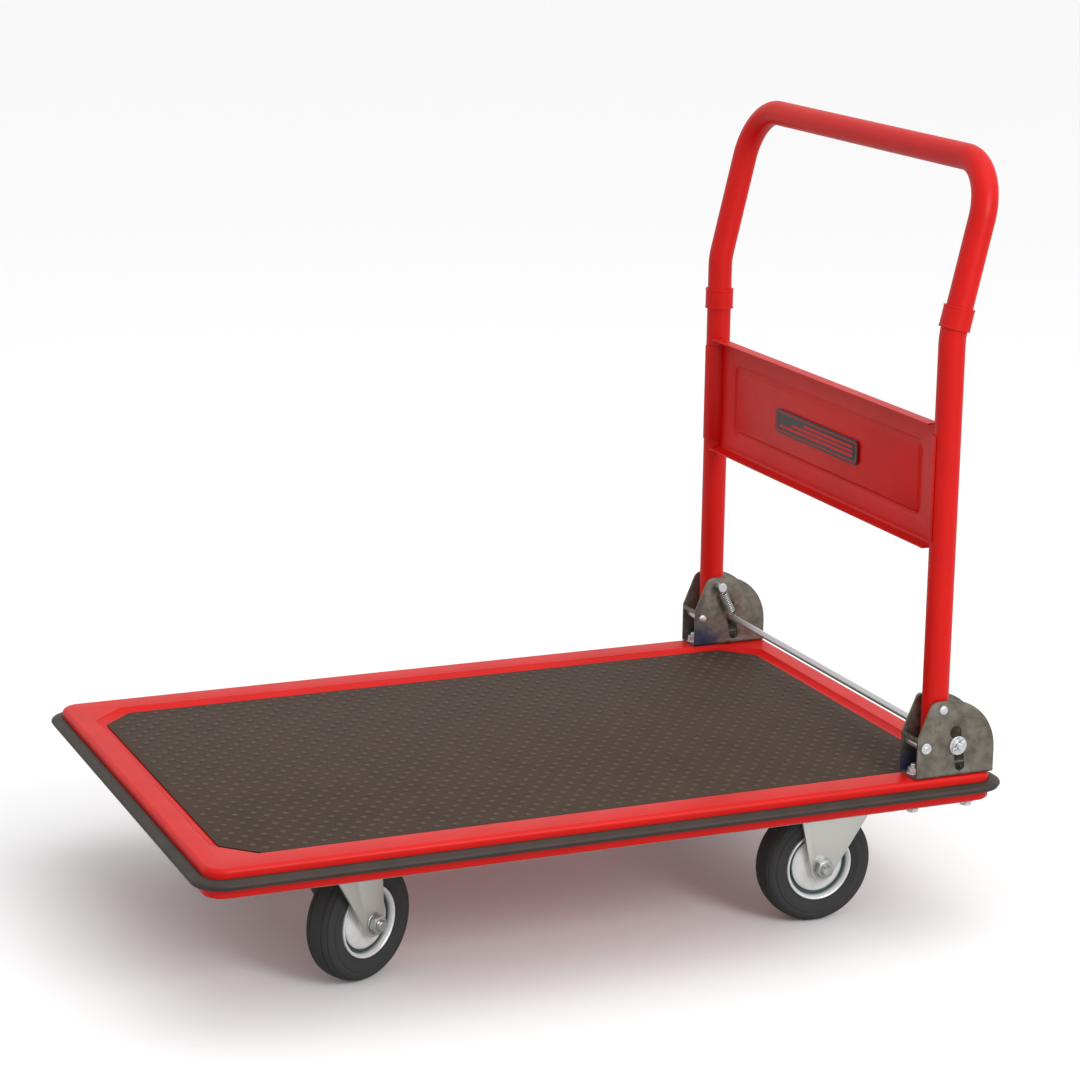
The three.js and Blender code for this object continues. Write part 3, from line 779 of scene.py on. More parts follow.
def pressed_deck():
    """One sheet: a sunken floor with sloping walls, a flat rim, a rounded edge, a skirt and a lip."""
    top, foot, lip, wall = DECK_HIGH.z, DECK_LOW.z, 9.0, 2.0
    edge = sizes().edge_round / MM
    inset = 20.0
    section = rounded([
        (inset, top, 0), (0, top, edge), (0, foot, 3.5), (lip, foot, 0.9), (lip, foot + wall, 0.9),
        (wall, foot + wall, 1.5), (wall, top - wall, edge - wall), (inset, top - wall, 0),
    ], closed=False)
    part = round_the_deck({"points": section, "closed": False}, DECK_HIGH.x, DECK_HIGH.y, DECK_CORNER)
    walls = [(7.0, 0.0), (6.2, 0.05), (5.4, 0.3), (0.9, 0.92), (0.1, 0.99), (-0.6, 1.0)]
    depth = top - TRAY_FLOOR
    for level, thick in ((top, 0.0), (top - wall, wall)):
        rings = [e for e in part.edges if e.is_boundary and all(abs(v.co.z - level) < HUSH for v in e.verts)]
        loops = []
        for out, share in walls:
            grow = 5 + out + thick / 2
            outline = clipped(MAT_HIGH.x + grow, MAT_HIGH.y + grow, MAT_CLIP + 4)
            loops.append(chain(part, [(x, y, level - share * depth) for x, y in outline]))
        bmesh.ops.triangle_fill(part, use_beauty=True, use_dissolve=False, edges=rings + loops[0])
        for first, second in zip(loops, loops[1:]):
            bmesh.ops.bridge_loops(part, edges=first + second)
        bmesh.ops.edgeloop_fill(part, edges=loops[-1])
    piece("pressed_deck", [part], "chassis", "red_paint", ["deck_pan"])


def stud_row(x, y, base, pitch, more):
    """A low dome on the mat at x, y and its copies along the deck."""
    high = sizes().stud_height / MM
    radius = sizes().stud_radius / MM
    studs = lathe([(radius, 0), (0.93 * radius, 0.45 * high), (0.7 * radius, 0.8 * high),
                   (0.35 * radius, 0.97 * high), (0, high)], 10, False)
    moved(studs, at(x, y, base))
    bmesh.ops.spin(
        studs, geom=studs.verts[:] + studs.edges[:] + studs.faces[:], cent=(0, 0, 0), axis=UP,
        dvec=(pitch, 0, 0), angle=0.0, steps=more, use_merge=False, use_normal_flip=False,
        use_duplicate=True,
    )
    return studs


def studded_mat():
    """A thin rubber sheet with clipped corners and rows of low round studs, set half a pitch apart."""
    high = sizes().stud_height / MM
    radius = sizes().stud_radius / MM
    base = MAT_HIGH.z - high
    x, y = MAT_HIGH.x, MAT_HIGH.y
    outline = clipped(x, y, MAT_CLIP)
    sheet = softened(plate(outline, MAT_LOW.z, base), 0.35, 2)
    pitch, row = sizes().stud_pitch / MM, sizes().stud_row / MM
    margin = radius + 1.5
    last = int((y - margin) / row)
    parts = [sheet]
    for j in range(-last, last + 1):
        offset = pitch / 2 if j % 2 else 0.0
        edge = min(x - margin, x + y - MAT_CLIP - 1.6 * margin - abs(j * row))
        count = int((edge - offset) / pitch)
        first = -count * pitch - offset
        parts.append(stud_row(first, j * row, base, pitch, 2 * count + (1 if j % 2 else 0)))
    piece("studded_mat", parts, "chassis", "deck_mat", ["deck_mat"], smooth=radians(50))


def bumper_strip():
    """Rubber strip: a sloping top, a round nose and a small step below it."""
    top, foot, out = BUMPER_HIGH.z, BUMPER_LOW.z, BUMPER_HIGH.x - DECK_HIGH.x
    section = rounded([
        (-0.3, top, 0.8), (-5.5, top - 0.2, 5), (-out, top - 3.4, 3.0), (-out, foot + 3.3, 0.8),
        (0.9 - out, foot + 3.0, 0.2), (0.9 - out, foot + 2.5, 0.3), (2.0 - out, foot, 1.5), (-0.3, foot, 0.8),
    ])
    shape = {"points": section, "closed": True}
    part = round_the_deck(shape, DECK_HIGH.x, DECK_HIGH.y, DECK_CORNER)
    piece("bumper_strip", [part], "chassis", "edge_bumper", ["edge_bumper"])


# Underframe -------------------------------------------------------------------------------------


def side_rails():
    """U-channels under the long edges, folded from sheet."""
    for label, _ in SIDES:
        low, high = corners(f"side_rail_{label}")
        y0, y1, wall = low.y, high.y, 2.0
        section = rounded([
            (y0, low.z, 3), (y1, low.z, 3), (y1, high.z, 0.5), (y1 - wall, high.z, 0.5),
            (y1 - wall, low.z + wall, 1), (y0 + wall, low.z + wall, 1), (y0 + wall, high.z, 0.5),
            (y0, high.z, 0.5),
        ])
        rail = plate_x(section, low.x, high.x)
        piece(f"rail_channel_{label}", [rail], "chassis", "zinc_plate", [f"side_rail_{label}"], axle_zinc)


def crossmembers():
    """Hat sections across the deck, folded from sheet."""
    for end in ("front", "rear"):
        low, high = corners(f"crossmember_{end}")
        mid = (low.x + high.x) / 2
        flange, wall, foot = 15.5, 2.5, 52.5
        half = [
            (foot + flange, high.z - wall, 0.5), (foot, high.z - wall, 1.5), (foot, low.z, 4),
        ]
        inner = [(foot - wall, low.z + wall, 1.5), (foot - wall, high.z, 4), (foot + flange, high.z, 0.5)]
        under = [(mid + x, z, r) for x, z, r in half] + [(mid - x, z, r) for x, z, r in reversed(half)]
        over = [(mid - x, z, r) for x, z, r in reversed(inner)] + [(mid + x, z, r) for x, z, r in inner]
        member = plate_y(rounded(under + over), low.y, high.y)
        piece(f"cross_channel_{end}", [member], "chassis", "zinc_plate", [f"crossmember_{end}"], axle_zinc)


# Hinge brackets ---------------------------------------------------------------------------------


def keyhole():
    """The slot that the rod slides in: a round key over a straight stretch that leans forward."""
    foot, top = Vector((404.0, DECK_HIGH.z + 12)), Vector((397.0, DECK_HIGH.z + 50.7))
    half, key = 5.75, 7.0
    lean = Matrix.Rotation(atan2(foot.x - top.x, top.y - foot.y), 2)
    long = (top - foot).length
    shoulder = atan2(sqrt(key ** 2 - half ** 2), half)
    points = arc(0, long, key, -shoulder, pi + shoulder) + arc(0, 0, half, pi, 2 * pi)
    return [tuple(foot + lean @ Vector(point)) for point in points]


def bracket_plate(low, high, foot):
    """The outline of a bracket's side: upright front, slanted shoulder and a round back."""
    crown, curve = high.z, 60.0
    return rounded([
        (low.x, foot, 0), (high.x, foot, 0), (high.x, crown, curve),
        (low.x + 17.0, crown, 11.0), (low.x, crown - 40.5, 2.0),
    ], finest=radians(5))


def hinge_bracket(label):
    """One folded sheet with two side plates, a strap across the front and one at the slot's foot."""
    low, high = corners(f"hinge_bracket_{label}")
    wall, fold = 2.5, 3.0
    y0, y1 = low.y, high.y
    foot = low.z + fold + 0.5
    outline = bracket_plate(low, high, foot)

    def seam(edge):
        return all(vert.co.z < foot + 0.1 for vert in edge.verts)

    sheets = [
        softened(plate_y(outline, y, y + wall, [keyhole()]), 0.35, 2, skip=seam) for y in (y0, y1 - wall)
    ]
    channel = rounded([
        (y0, foot, 0), (y0, low.z, fold), (y1, low.z, fold), (y1, foot, 0), (y1 - wall, foot, 0),
        (y1 - wall, low.z + wall, 0.6), (y0 + wall, low.z + wall, 0.6), (y0 + wall, foot, 0),
    ])
    base = softened(plate_x(channel, low.x, high.x), 0.3, 2, radians(60), seam)
    strap_low = DECK_HIGH.z + 41.5
    strap = plate_x(soft_box(y0 + 1, strap_low, y1 - 1, strap_low + 5, 0.8), low.x + 0.2, low.x + 4.2)
    ledge = plate_x(soft_box(y0 + 1, strap_low - 26, y1 - 1, strap_low - 24, 0.4), 397.0, 411.0)
    parts = sheets + [base, softened(strap, 0.3), softened(ledge, 0.3)]
    piece(f"bracket_{label}", parts, "chassis", "zinc_plate", [f"hinge_bracket_{label}"])


def root_and_length(node, side):
    """Where a pin starts, on its inner side, and how long it is."""
    low, high = corners(node)
    return (low.y if side > 0 else high.y), high.y - low.y


def rivets(label, side):
    """The pivot pin with its small domed head, and the stop pin with a wide flat one."""
    root, long = root_and_length(f"pivot_pin_{label}", side)
    profile = [(0, 0), (5.2, 0), (5.9, 0.7), (5.9, 1.5), (5.2, 2.0), (4.0, 2.1), (4.0, long - 2.4),
               (5.1, long - 2.3), (5.2, long - 1.6), (4.4, long - 0.6), (2.6, long - 0.05), (0, long)]
    pivot = lathe_y(profile, PIVOT.x, root, PIVOT.z, side, 40, False)
    piece(f"pivot_rivet_{label}", [pivot], "chassis", "bright_zinc", [f"pivot_pin_{label}"])
    root, long = root_and_length(f"stop_pin_{label}", side)
    profile = [(0, 0), (3.2, 0), (4.4, 0.5), (5.0, 1.4), (5.0, long - 2.3), (6.0, long - 2.2),
               (6.2, long - 1.6), (6.1, long - 0.6), (5.6, long - 0.2), (3.6, long - 0.1),
               (3.3, long - 0.45), (2.9, long - 0.5), (2.6, long - 0.3), (0, long - 0.2)]
    stop = lathe_y(profile, STOP.x, root, STOP.z, side, 48, False)
    piece(f"stop_rivet_{label}", [stop], "chassis", "bright_zinc", [f"stop_pin_{label}"])


def hinge_bolt(end, label):
    """A hex bolt up through rail, deck and bracket, with its washer, nut and threaded end."""
    node = f"bracket_bolt_{end}_{label}"
    low, high = corners(node)
    x, y = (low.x + high.x) / 2, (low.y + high.y) / 2
    flats, shank = 12.7, 4.0
    nut_low = corners(f"hinge_bracket_{label}")[0].z + 2.5
    head = hexagon(flats, 4.6, [(shank, 4.6), (shank, nut_low - low.z + 0.5)])
    nut_high = 6.4
    nut = hexagon(flats, nut_high, [(shank, nut_high)] + threaded(shank, nut_high, high.z - nut_low - 0.9))
    washer = lathe([(4.2, 0), (8.2, 0), (8.4, 0.2), (8.4, 0.9), (8.2, 1.1), (4.2, 1.1)], 36)
    parts = [moved(head, at(x, y, low.z)), moved(nut, at(x, y, nut_low + 0.9) @ about("Z", 0.3)),
             moved(washer, at(x, y, nut_low))]
    piece(f"hinge_bolt_{end}_{label}", parts, "chassis", "bright_zinc", [node])


# Handle -----------------------------------------------------------------------------------------


def bent_tube():
    """One tube bent four times; its open ends are cut round the pivots."""
    past_bend, wall, bends = 19.5, 1.8, (80, 60, 60, 80)
    bend = middle("collar_left").z - past_bend * cos(LEAN)
    top_x = HANDLE_HIGH.x - TUBE - 0.05
    top_z = HANDLE_HIGH.z - TUBE
    foot = PIVOT.z - LEG_CLEAR
    half = [Vector((LEG_X, -LEG_Y, foot)), Vector((LEG_X, -LEG_Y, bend)), Vector((top_x, -LEG_Y, top_z))]
    line = half + [Vector((p.x, -p.y, p.z)) for p in reversed(half)]
    part = bmesh.new()
    rings = [ring_at(part, radius, line[0], UP, 48) for radius in (TUBE, TUBE - wall)]
    section = rings[0] + rings[1]
    far = draw(part, section, line[0], UP, route(line, bends), radians(5))
    for edges in (section, far):
        for vert in ends(edges):
            vert.co.z = PIVOT.z - sqrt(LEG_CLEAR ** 2 - (vert.co.x - LEG_X) ** 2)
        bmesh.ops.bridge_loops(part, edges=edges)
    piece("bent_tube", [part], "handle", "red_paint", ["handle_tube"])


def sleeves():
    """The two collars: sleeves with a raised band round each end."""
    for label, _ in SIDES:
        low, high = corners(f"collar_{label}")
        centre = (low + high) / 2
        lean = LEAN if label == "left" else 0.0
        profile = [(14.6, -12), (16.9, -12), (17.2, -11.6), (17.2, -10.2), (16.8, -9.8), (16.8, 9.8),
                   (17.2, 10.2), (17.2, 11.6), (16.9, 12), (14.6, 12)]
        sleeve = moved(lathe(profile, 56), at(*centre) @ about("Y", lean))
        piece(f"sleeve_{label}", [sleeve], "handle", "red_paint", [f"collar_{label}"])


def grooved_panel():
    """The pressed panel: a groove all round it, flanges turned forward and sleeves round the legs."""
    low, high = corners("handle_panel")
    wall = 1.6
    back = high.x
    reach = LEG_Y - TUBE - 1.0
    z0, z1 = low.z, high.z
    radius = 3.0
    groove, deep = sizes().groove_width / MM, sizes().groove_depth / MM
    side, bottom, top = 39.0, 25.0, 29.0
    part = bmesh.new()
    face = back - wall

    def frame_line(out, depth):
        box = soft_box(side - reach - out, z0 + bottom - out, reach - side + out, z1 - top + out, 7 + out)
        return [(face + depth, y, z) for y, z in box]

    slopes = [(groove / 2, 0), (groove / 2 - 1.2, 0.25 * deep), (groove / 2 - 2.6, 0.85 * deep),
              (1.0, deep), (-1.0, deep), (2.6 - groove / 2, 0.85 * deep),
              (1.2 - groove / 2, 0.25 * deep), (-groove / 2, 0)]
    loops = [chain(part, frame_line(out, depth)) for out, depth in slopes]
    rim = chain(part, [(face, y, z) for y, z in (
        (-reach, z0 + radius), (reach, z0 + radius), (reach, z1 - radius), (-reach, z1 - radius))])
    for first, second in zip(loops, loops[1:]):
        bmesh.ops.bridge_loops(part, edges=first + second)
    bmesh.ops.triangle_fill(part, use_beauty=True, use_dissolve=False, edges=rim + loops[0])
    bmesh.ops.edgeloop_fill(part, edges=loops[-1])
    flange = face - low.x - radius
    for edge, rise in ((rim[0], -1), (rim[2], 1)):
        heading = Vector((0, 0, rise))
        start = Vector((face, 0, z0 + radius if rise < 0 else z1 - radius))
        draw(part, [edge], start, heading, [(radius, pi / 2, (0, rise * -1.0, 0)), (flange,)], radians(15))
    bmesh.ops.remove_doubles(part, verts=part.verts[:], dist=HUSH)
    bmesh.ops.recalc_face_normals(part, faces=part.faces[:])
    if sum(f.normal.x * f.calc_area() for f in part.faces) > 0:
        bmesh.ops.reverse_faces(part, faces=part.faces[:])
    bmesh.ops.solidify(part, geom=part.faces[:], thickness=wall)
    tabs = [leg_sleeve(sign, z0 + 9, z1 - 9) for _, sign in SIDES]
    piece("grooved_panel", [part] + tabs, "handle", "red_paint", ["handle_panel"])


def leg_sleeve(side, low, high):
    """The tab that wraps the front of a leg, from its inner side."""
    inner, outer = TUBE + 0.35, TUBE + 1.8
    start, end = (radians(85), radians(188)) if side < 0 else (radians(172), radians(275))
    outline = arc(0, 0, outer, start, end, radians(5)) + arc(0, 0, inner, end, start, radians(5))
    tab = softened(plate(outline, low, high), 0.5, 2)
    return moved(tab, at(LEG_X, side * LEG_Y, 0))


def plain_label():
    """A plain black plate with a fine red frame and three plain bars; it bears no mark."""
    low, high = corners("panel_badge")
    mid = (low + high) / 2
    y, z = (high.y - low.y) / 2, (high.z - low.z) / 2
    outline = soft_box(mid.y - y, mid.z - z, mid.y + y, mid.z + z, 6)
    plate_part = softened(plate_x(outline, low.x, high.x), 0.2)
    piece("label_plate", [plate_part], "handle", "panel_badge", ["panel_badge"])
    rule, edge, bar_step, bar_end, shorter = 1.1, 2.6, 5.2, 12, 30
    ink_low, ink_high = low.x - 0.12, low.x + 0.1
    outer = soft_box(mid.y - y + edge, mid.z - z + edge, mid.y + y - edge, mid.z + z - edge, 4)
    edge += rule
    inner = soft_box(mid.y - y + edge, mid.z - z + edge, mid.y + y - edge, mid.z + z - edge, 3)
    lines = [plate_x(outer, ink_low, ink_high, [inner])]
    for k in (-1, 0, 1):
        bar_z = mid.z + bar_step * k
        bar_far = mid.y + y - bar_end - shorter * (k + 1)
        bar = soft_box(mid.y - y + bar_end, bar_z - 1.5, bar_far, bar_z + 1.5, 1.4)
        lines.append(plate_x(bar, ink_low, ink_high))
    piece("label_lines", lines, "handle", "red_paint")


# Release rod ------------------------------------------------------------------------------------


def cross_rod():
    end = corners("release_rod")[1].y
    profile = [(0, 0.4), (2.0, 0.4), (2.2, 0), (3.4, 0), (4.0, 0.8), (4.0, 2 * end - 0.8),
               (3.4, 2 * end), (2.2, 2 * end), (2.0, 2 * end - 0.4), (0, 2 * end - 0.4)]
    rod = lathe_y(profile, ROD.x, -end, ROD.z, 1, 40, False)
    piece("cross_rod", [rod], "release", "bright_zinc", ["release_rod"])


def rod_end(label, side):
    """Washers and a split pin that keep the rod from sliding out."""
    low, high = corners(f"rod_washer_{label}")
    near = high.y if side < 0 else low.y
    flat = [(4.4, 0), (10.1, 0), (10.5, 0.3), (10.5, 1.3), (10.1, 1.6), (4.4, 1.6)]
    small = [(4.4, 1.7), (6.8, 1.7), (7.1, 2.0), (7.1, 2.5), (6.8, 2.8), (4.4, 2.8)]
    parts = [lathe_y(profile, ROD.x, near, ROD.z, side, 48) for profile in (flat, small)]
    piece(f"flat_washer_{label}", parts, "release", "bright_zinc", [f"rod_washer_{label}"])
    gauge, half, flare, swell = 0.72, 0.78, 3.0, radians(40)
    eye = (half + flare * (1 - cos(swell))) / cos(swell)
    axis = Vector((0, 1, 0))
    moves = [
        (2.4, radians(75), -axis), (9.5,), (flare, swell, -axis), (eye, pi + 2 * swell, axis),
        (flare, swell, -axis), (10.5,), (1.9, radians(190), -axis), (1.2,),
    ]
    start, heading = Vector((-half, 0, 0)), Vector((0, 0, -1))
    turn = Matrix.Rotation(radians(75), 3, -axis)
    pivot = start + (-axis).cross(heading) * 2.4
    back = turn.inverted()
    first = pivot + back @ (start - pivot)
    pin = wire(gauge, first + Vector((0, 0, 5.5)), back @ heading, moves, 10)
    y = middle(f"split_pin_{label}").y
    pin = moved(pin, at(ROD.x, y, ROD.z) @ about("Y", radians(45)))
    piece(f"cotter_{label}", [pin], "release", "bright_zinc", [f"split_pin_{label}"])


def lock_spring(label):
    """A tension spring, a little stretched, hooked round the pivot pin and the rod."""
    gauge = sizes().spring_wire / MM
    down = Vector((ROD.x - PIVOT.x, 0, ROD.z - PIVOT.z))
    long = down.length
    mean, bend, loop = 5.0, 1.6, 5.1
    back = Matrix.Rotation(radians(-285), 3, (0, -1, 0))
    last = Vector((loop, -bend, 0))
    stem = 7.0
    pitch = 2 * gauge * 1.55
    coil_end = long - stem - bend
    turns = int((coil_end - stem - bend) / pitch)
    spare = coil_end - stem - bend - turns * pitch
    moves = [
        (loop, radians(285), (0, -1, 0)), (stem + spare / 2,), (bend, pi / 2, (-1, 0, 0)),
        (mean, 2 * pi * turns, (0, 0, 1), turns * pitch), (bend, pi / 2, (1, 0, 0)),
        (stem + spare / 2,), (loop, radians(285), (0, -1, 0)),
    ]
    part = wire(gauge, back @ last, back @ Vector((0, 0, 1)), moves, 8, radians(18))
    y = middle(f"lock_spring_{label}").y
    tilt = down.to_track_quat("Z", "Y").to_matrix().to_4x4()
    moved(part, at(PIVOT.x, y, PIVOT.z) @ tilt)
    made = piece(f"tension_spring_{label}", [part], None, "axle_hardware", [f"lock_spring_{label}"])
    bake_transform(made)


# Casters ----------------------------------------------------------------------------------------


def tangent(x, z, boss, way):
    """The angle at which a line from (x, z) touches the boss round the axle."""
    return atan2(z, x) + way * (pi / 2 - atan2(boss, sqrt(x * x + z * z - boss * boss)))


def caster_sheet(left, right, top, shoulder, strip, fold):
    """A fork's arm in (x, z) about its axle. Its left strip, strip wide at the top and at the boss,
    is bent outwards by fold."""
    boss = 15.0
    start, end = tangent(left, top, boss, 1), tangent(right, shoulder, boss, -1) + 2 * pi
    outline = [(right, top), (left, top)]
    if shoulder < top:
        outline.insert(0, (right, shoulder))
    part = plate(outline + arc(0, 0, boss, start, end, radians(5)), 0, 2.5)
    upper = Vector((left + strip[0], top, 0))
    lower = Vector((boss * cos(start), boss * sin(start), 0)) * (1 - strip[1] / boss)
    line = (upper - lower).normalized()
    outward = Vector((-line.y, line.x, 0))
    outward = outward if outward.x < 0 else -outward
    for offset in (-1.5, 0.0, 1.5):
        everything = part.verts[:] + part.edges[:] + part.faces[:]
        bmesh.ops.bisect_plane(
            part, geom=everything, dist=HUSH, plane_co=lower + outward * offset, plane_no=outward
        )
    for offset in (1.5, 0.0, -1.5):
        pin = lower + outward * offset
        bent = [vert for vert in part.verts if (vert.co - pin).dot(outward) > 0.01]
        bmesh.ops.rotate(part, cent=pin, matrix=Matrix.Rotation(fold / 3, 3, line), verts=bent)
    return softened(part, 0.4, 2, radians(50))


def fork_arms(left, right, top, shoulder, strip, fold):
    """Two arms, one on each side of the wheel; the bend faces outward on both."""
    gap = 21.5
    arms = []
    for side in (1, -1):
        arm = moved(caster_sheet(left, right, top, shoulder, strip, fold), at(0, -gap, 0) @ ALONG_Y)
        bmesh.ops.transform(arm, matrix=Matrix.Diagonal((1, side, 1, 1)), verts=arm.verts[:])
        arms.append(arm)
    return arms


def mounting_plate(middle_x, middle_y, low, high):
    """A caster's top plate with rounded corners and four holes."""
    x, y, hole = 52.5, 40.0, 4.6
    cuts = [circle(a, b, hole) for a, b in PLATE_SPOTS]
    part = plate(soft_box(-x, -y, x, y, 8), low, high, cuts)
    return moved(softened(part, 0.35), at(middle_x, middle_y, 0))


def plate_bolts(name, body, centre_x, centre_y, under):
    """Four hex bolts that hold a caster's plate to its crossmember."""
    parts = []
    for k, (x, y) in enumerate(PLATE_SPOTS):
        head = hexagon(12.7, 5.2, [(3.4, 5.2), (3.1, 4.9)])
        washer = lathe([(0, 0), (8.0, 0), (8.3, 0.3), (8.3, 1.2), (0, 1.2)], 32, False)
        turn = at(centre_x + x, centre_y + y, under) @ about("X", pi)
        parts.append(moved(head, turn @ at(0, 0, 1.2) @ about("Z", 0.4 + 0.7 * k)))
        parts.append(moved(washer, turn))
    piece(name, parts, body, "bright_zinc")


def axle_parts(label, side, body, centre, yaw):
    """The axle bolt with its head inboard, and the nut and washer outboard."""
    turn = at(*centre) @ about("Z", yaw) @ about("X", -pi / 2 * side)
    face, tail, flats, head, shank = 24.3, 12.0, 18.4, 7.3, 6.0
    bolt = hexagon(flats, head, [(shank, head), (shank, 2 * face + head)]
                   + threaded(shank, 2 * face + head, 2 * face + head + tail + 0.3))
    bolt = moved(bolt, turn @ at(0, 0, -face - head) @ about("Z", 0.35))
    piece(f"axle_screw_{label}", [bolt], body, "axle_hardware", [f"axle_bolt_{label}"])
    nut = hexagon(flats, 7.0, bore=6.05)
    washer = lathe([(6.3, 0), (11.6, 0), (12.0, 0.3), (12.0, 0.8), (11.6, 1.1), (6.3, 1.1)], 48)
    parts = [moved(nut, turn @ at(0, 0, face + 1.0) @ about("Z", 0.2)),
             moved(washer, turn @ at(0, 0, face - 0.1))]
    piece(f"lock_nut_{label}", parts, body, "axle_hardware", [f"axle_nut_{label}"])


def wheel(label, body, centre, yaw):
    """Solid tyre, pressed rim and bush, turned about the axle."""
    turn = at(*centre) @ about("Z", yaw) @ about("X", -pi / 2)
    axle = (centre, Matrix.Rotation(yaw, 3, "Z") @ Vector((0, 1, 0)))
    r = WHEEL
    tyre = [
        (r, 0.4), (r - 0.1, 4.2), (r - 0.5, 7.6), (r - 1.5, 8.0), (r - 1.6, 8.7), (r - 0.9, 9.2),
        (r - 1.6, 12.2), (r - 2.8, 14.1), (r - 4.0, 14.3), (r - 4.2, 15.0), (r - 3.8, 15.4),
        (r - 5.6, 17.1), (r - 8.0, 18.3), (r - 10.4, 18.8), (r - 11.4, 18.4), (r - 11.8, 18.6),
        (r - 12.2, 19.3), (r - 15.0, 19.6), (r - 18.6, 19.4), (r - 20.0, 19.0), (r - 20.4, 18.5),
        (r - 22.3, 17.5), (r - 24.8, 16.4), (r - 26.0, 14.8), (r - 26.2, 13.1),
    ]
    shape = [(radius, -height) for radius, height in tyre[::-1]] + tyre
    piece(f"solid_tyre_{label}", [moved(lathe(shape, 96), turn)], body, "tyre_rubber",
          [f"tyre_{label}"], axle=axle, smooth=radians(40))
    rim = [
        (39.8, 12.6), (40.0, 15.2), (39.6, 16.4), (38.6, 16.9), (37.5, 16.5), (36.5, 15.2), (35.6, 12.4),
        (35.0, 9.6), (34.2, 8.2), (32.6, 8.0), (31.8, 9.0), (30.6, 11.0), (27.4, 12.8), (22.0, 14.6),
        (17.0, 15.7), (14.3, 16.3), (13.6, 17.0), (13.6, 18.6), (13.2, 19.0), (9.3, 19.0),
    ]
    outside = [(radius, -height) for radius, height in rim[::-1]] + rim
    piece(f"pressed_rim_{label}", [moved(lathe(outside, 96), turn)], body, "bright_zinc",
          [f"rim_{label}"], rim_zinc, axle=axle, smooth=radians(38))
    sleeve = [(6.3, -20), (8.7, -20), (9.0, -19.6), (9.0, 19.6), (8.7, 20), (6.3, 20)]
    piece(f"sleeve_bush_{label}", [moved(lathe(sleeve, 40), turn)], body, "bronze_bush", [f"bush_{label}"])


def fixed_caster(label, side):
    centre = middle(f"tyre_rear_{label}")
    low, high = corners(f"fixed_fork_{label}")
    top = high.z - centre.z
    parts = fork_arms(-36, 58, top - 1.2, 60, (9.0, 4.0), FORK_FOLD)
    for part in parts:
        moved(part, at(*centre))
    plate_x_middle = (low.x + high.x) / 2
    parts.append(mounting_plate(plate_x_middle, centre.y, high.z - FORK_SHEET, high.z))
    bead = sizes().weld_bead / MM
    for sign in (-1, 1):
        start = (centre.x - 30, centre.y + sign * 24.2, high.z - 3.2)
        parts.append(wire(bead, start, (1, 0, 0), [(84.0,)], 10))
    piece(f"rigid_fork_{label}", parts, "chassis", "caster_zinc", [f"fixed_fork_{label}"])
    plate_bolts(f"plate_bolts_rear_{label}", "chassis", plate_x_middle, centre.y, high.z - FORK_SHEET)
    axle_parts(f"rear_{label}", side, "chassis", centre, 0.0)
    wheel(f"rear_{label}", f"rear_wheel_{label}", centre, 0.0)


def swivel_caster(label, side):
    """Top plate, kingpin and ball race on the deck; crown, arms and wheel turn below them."""
    stem = middle(f"swivel_plate_{label}")
    centre = middle(f"tyre_front_{label}")
    yaw = atan2(centre.y - stem.y, centre.x - stem.x)
    trail = hypot(centre.x - stem.x, centre.y - stem.y)
    low, high = corners(f"swivel_plate_{label}")
    crown = corners(f"swivel_fork_{label}")[1].z
    pin = lathe([(0, low.z), (8.4, low.z), (9.8, low.z + 1.2), (10, low.z + 3.6), (6, low.z + 4.0),
                 (6, high.z - 1.0), (0, high.z - 1.0)], 48, False)
    parts = [mounting_plate(stem.x, stem.y, high.z - FORK_SHEET, high.z),
             moved(pin, at(stem.x, stem.y, 0))]
    piece(f"swivel_top_{label}", parts, "chassis", "caster_zinc", [f"swivel_plate_{label}"])
    r0, r1 = (corners(f"swivel_race_{label}")[i].z for i in (0, 1))
    mid = (r0 + r1) / 2
    race = [(8, r0), (26, r0), (28.6, r0 + 1.6), (29, r0 + 4), (29, mid - 0.9), (28, mid - 0.7),
            (27.4, mid), (28, mid + 0.7), (29, mid + 0.9), (28.6, r1 - 3), (25.4, r1), (8, r1)]
    piece(f"ball_race_{label}", [moved(lathe(race, 64), at(stem.x, stem.y, 0))],
          corner_body(f"swivel_race_{label}"), "bright_zinc", [f"swivel_race_{label}"])
    body = f"swivel_{label}"
    top = crown - centre.z
    left, right, y = -trail - 37, -trail + 43, 24.0
    arms = fork_arms(left, right, top - 2.0, top, (38.0, 3.0), FORK_FOLD)
    outline = soft_box(left, -y, right, y, 5)
    hole = circle(-trail, 0, 6.6)
    crown_plate = softened(plate(outline, top - FORK_SHEET, top, [hole]), 0.5, 3)
    turn = at(*centre) @ about("Z", yaw)
    parts = [moved(part, turn) for part in (*arms, crown_plate)]
    piece(f"turning_fork_{label}", parts, body, "caster_zinc", [f"swivel_fork_{label}"])
    plate_bolts(f"plate_bolts_front_{label}", "chassis", stem.x, stem.y, high.z - FORK_SHEET)
    axle_parts(f"front_{label}", side, body, centre, yaw)
    wheel(f"front_{label}", f"front_wheel_{label}", centre, yaw)


def corner_body(node):
    """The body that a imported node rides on."""
    return frame["nodes"][node]["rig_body"]


# Stage ------------------------------------------------------------------------------------------


def area_light(name, place, aim, size, power):
    lamp = bpy.data.lights.new(name, "AREA")
    lamp.shape = "RECTANGLE"
    lamp.size, lamp.size_y = size
    lamp.energy = power
    made = bpy.data.objects.new(name, lamp)
    made.location = place
    made.rotation_euler = (Vector(aim) - Vector(place)).to_track_quat("-Z", "Y").to_euler()
    bpy.context.scene.collection.objects.link(made)


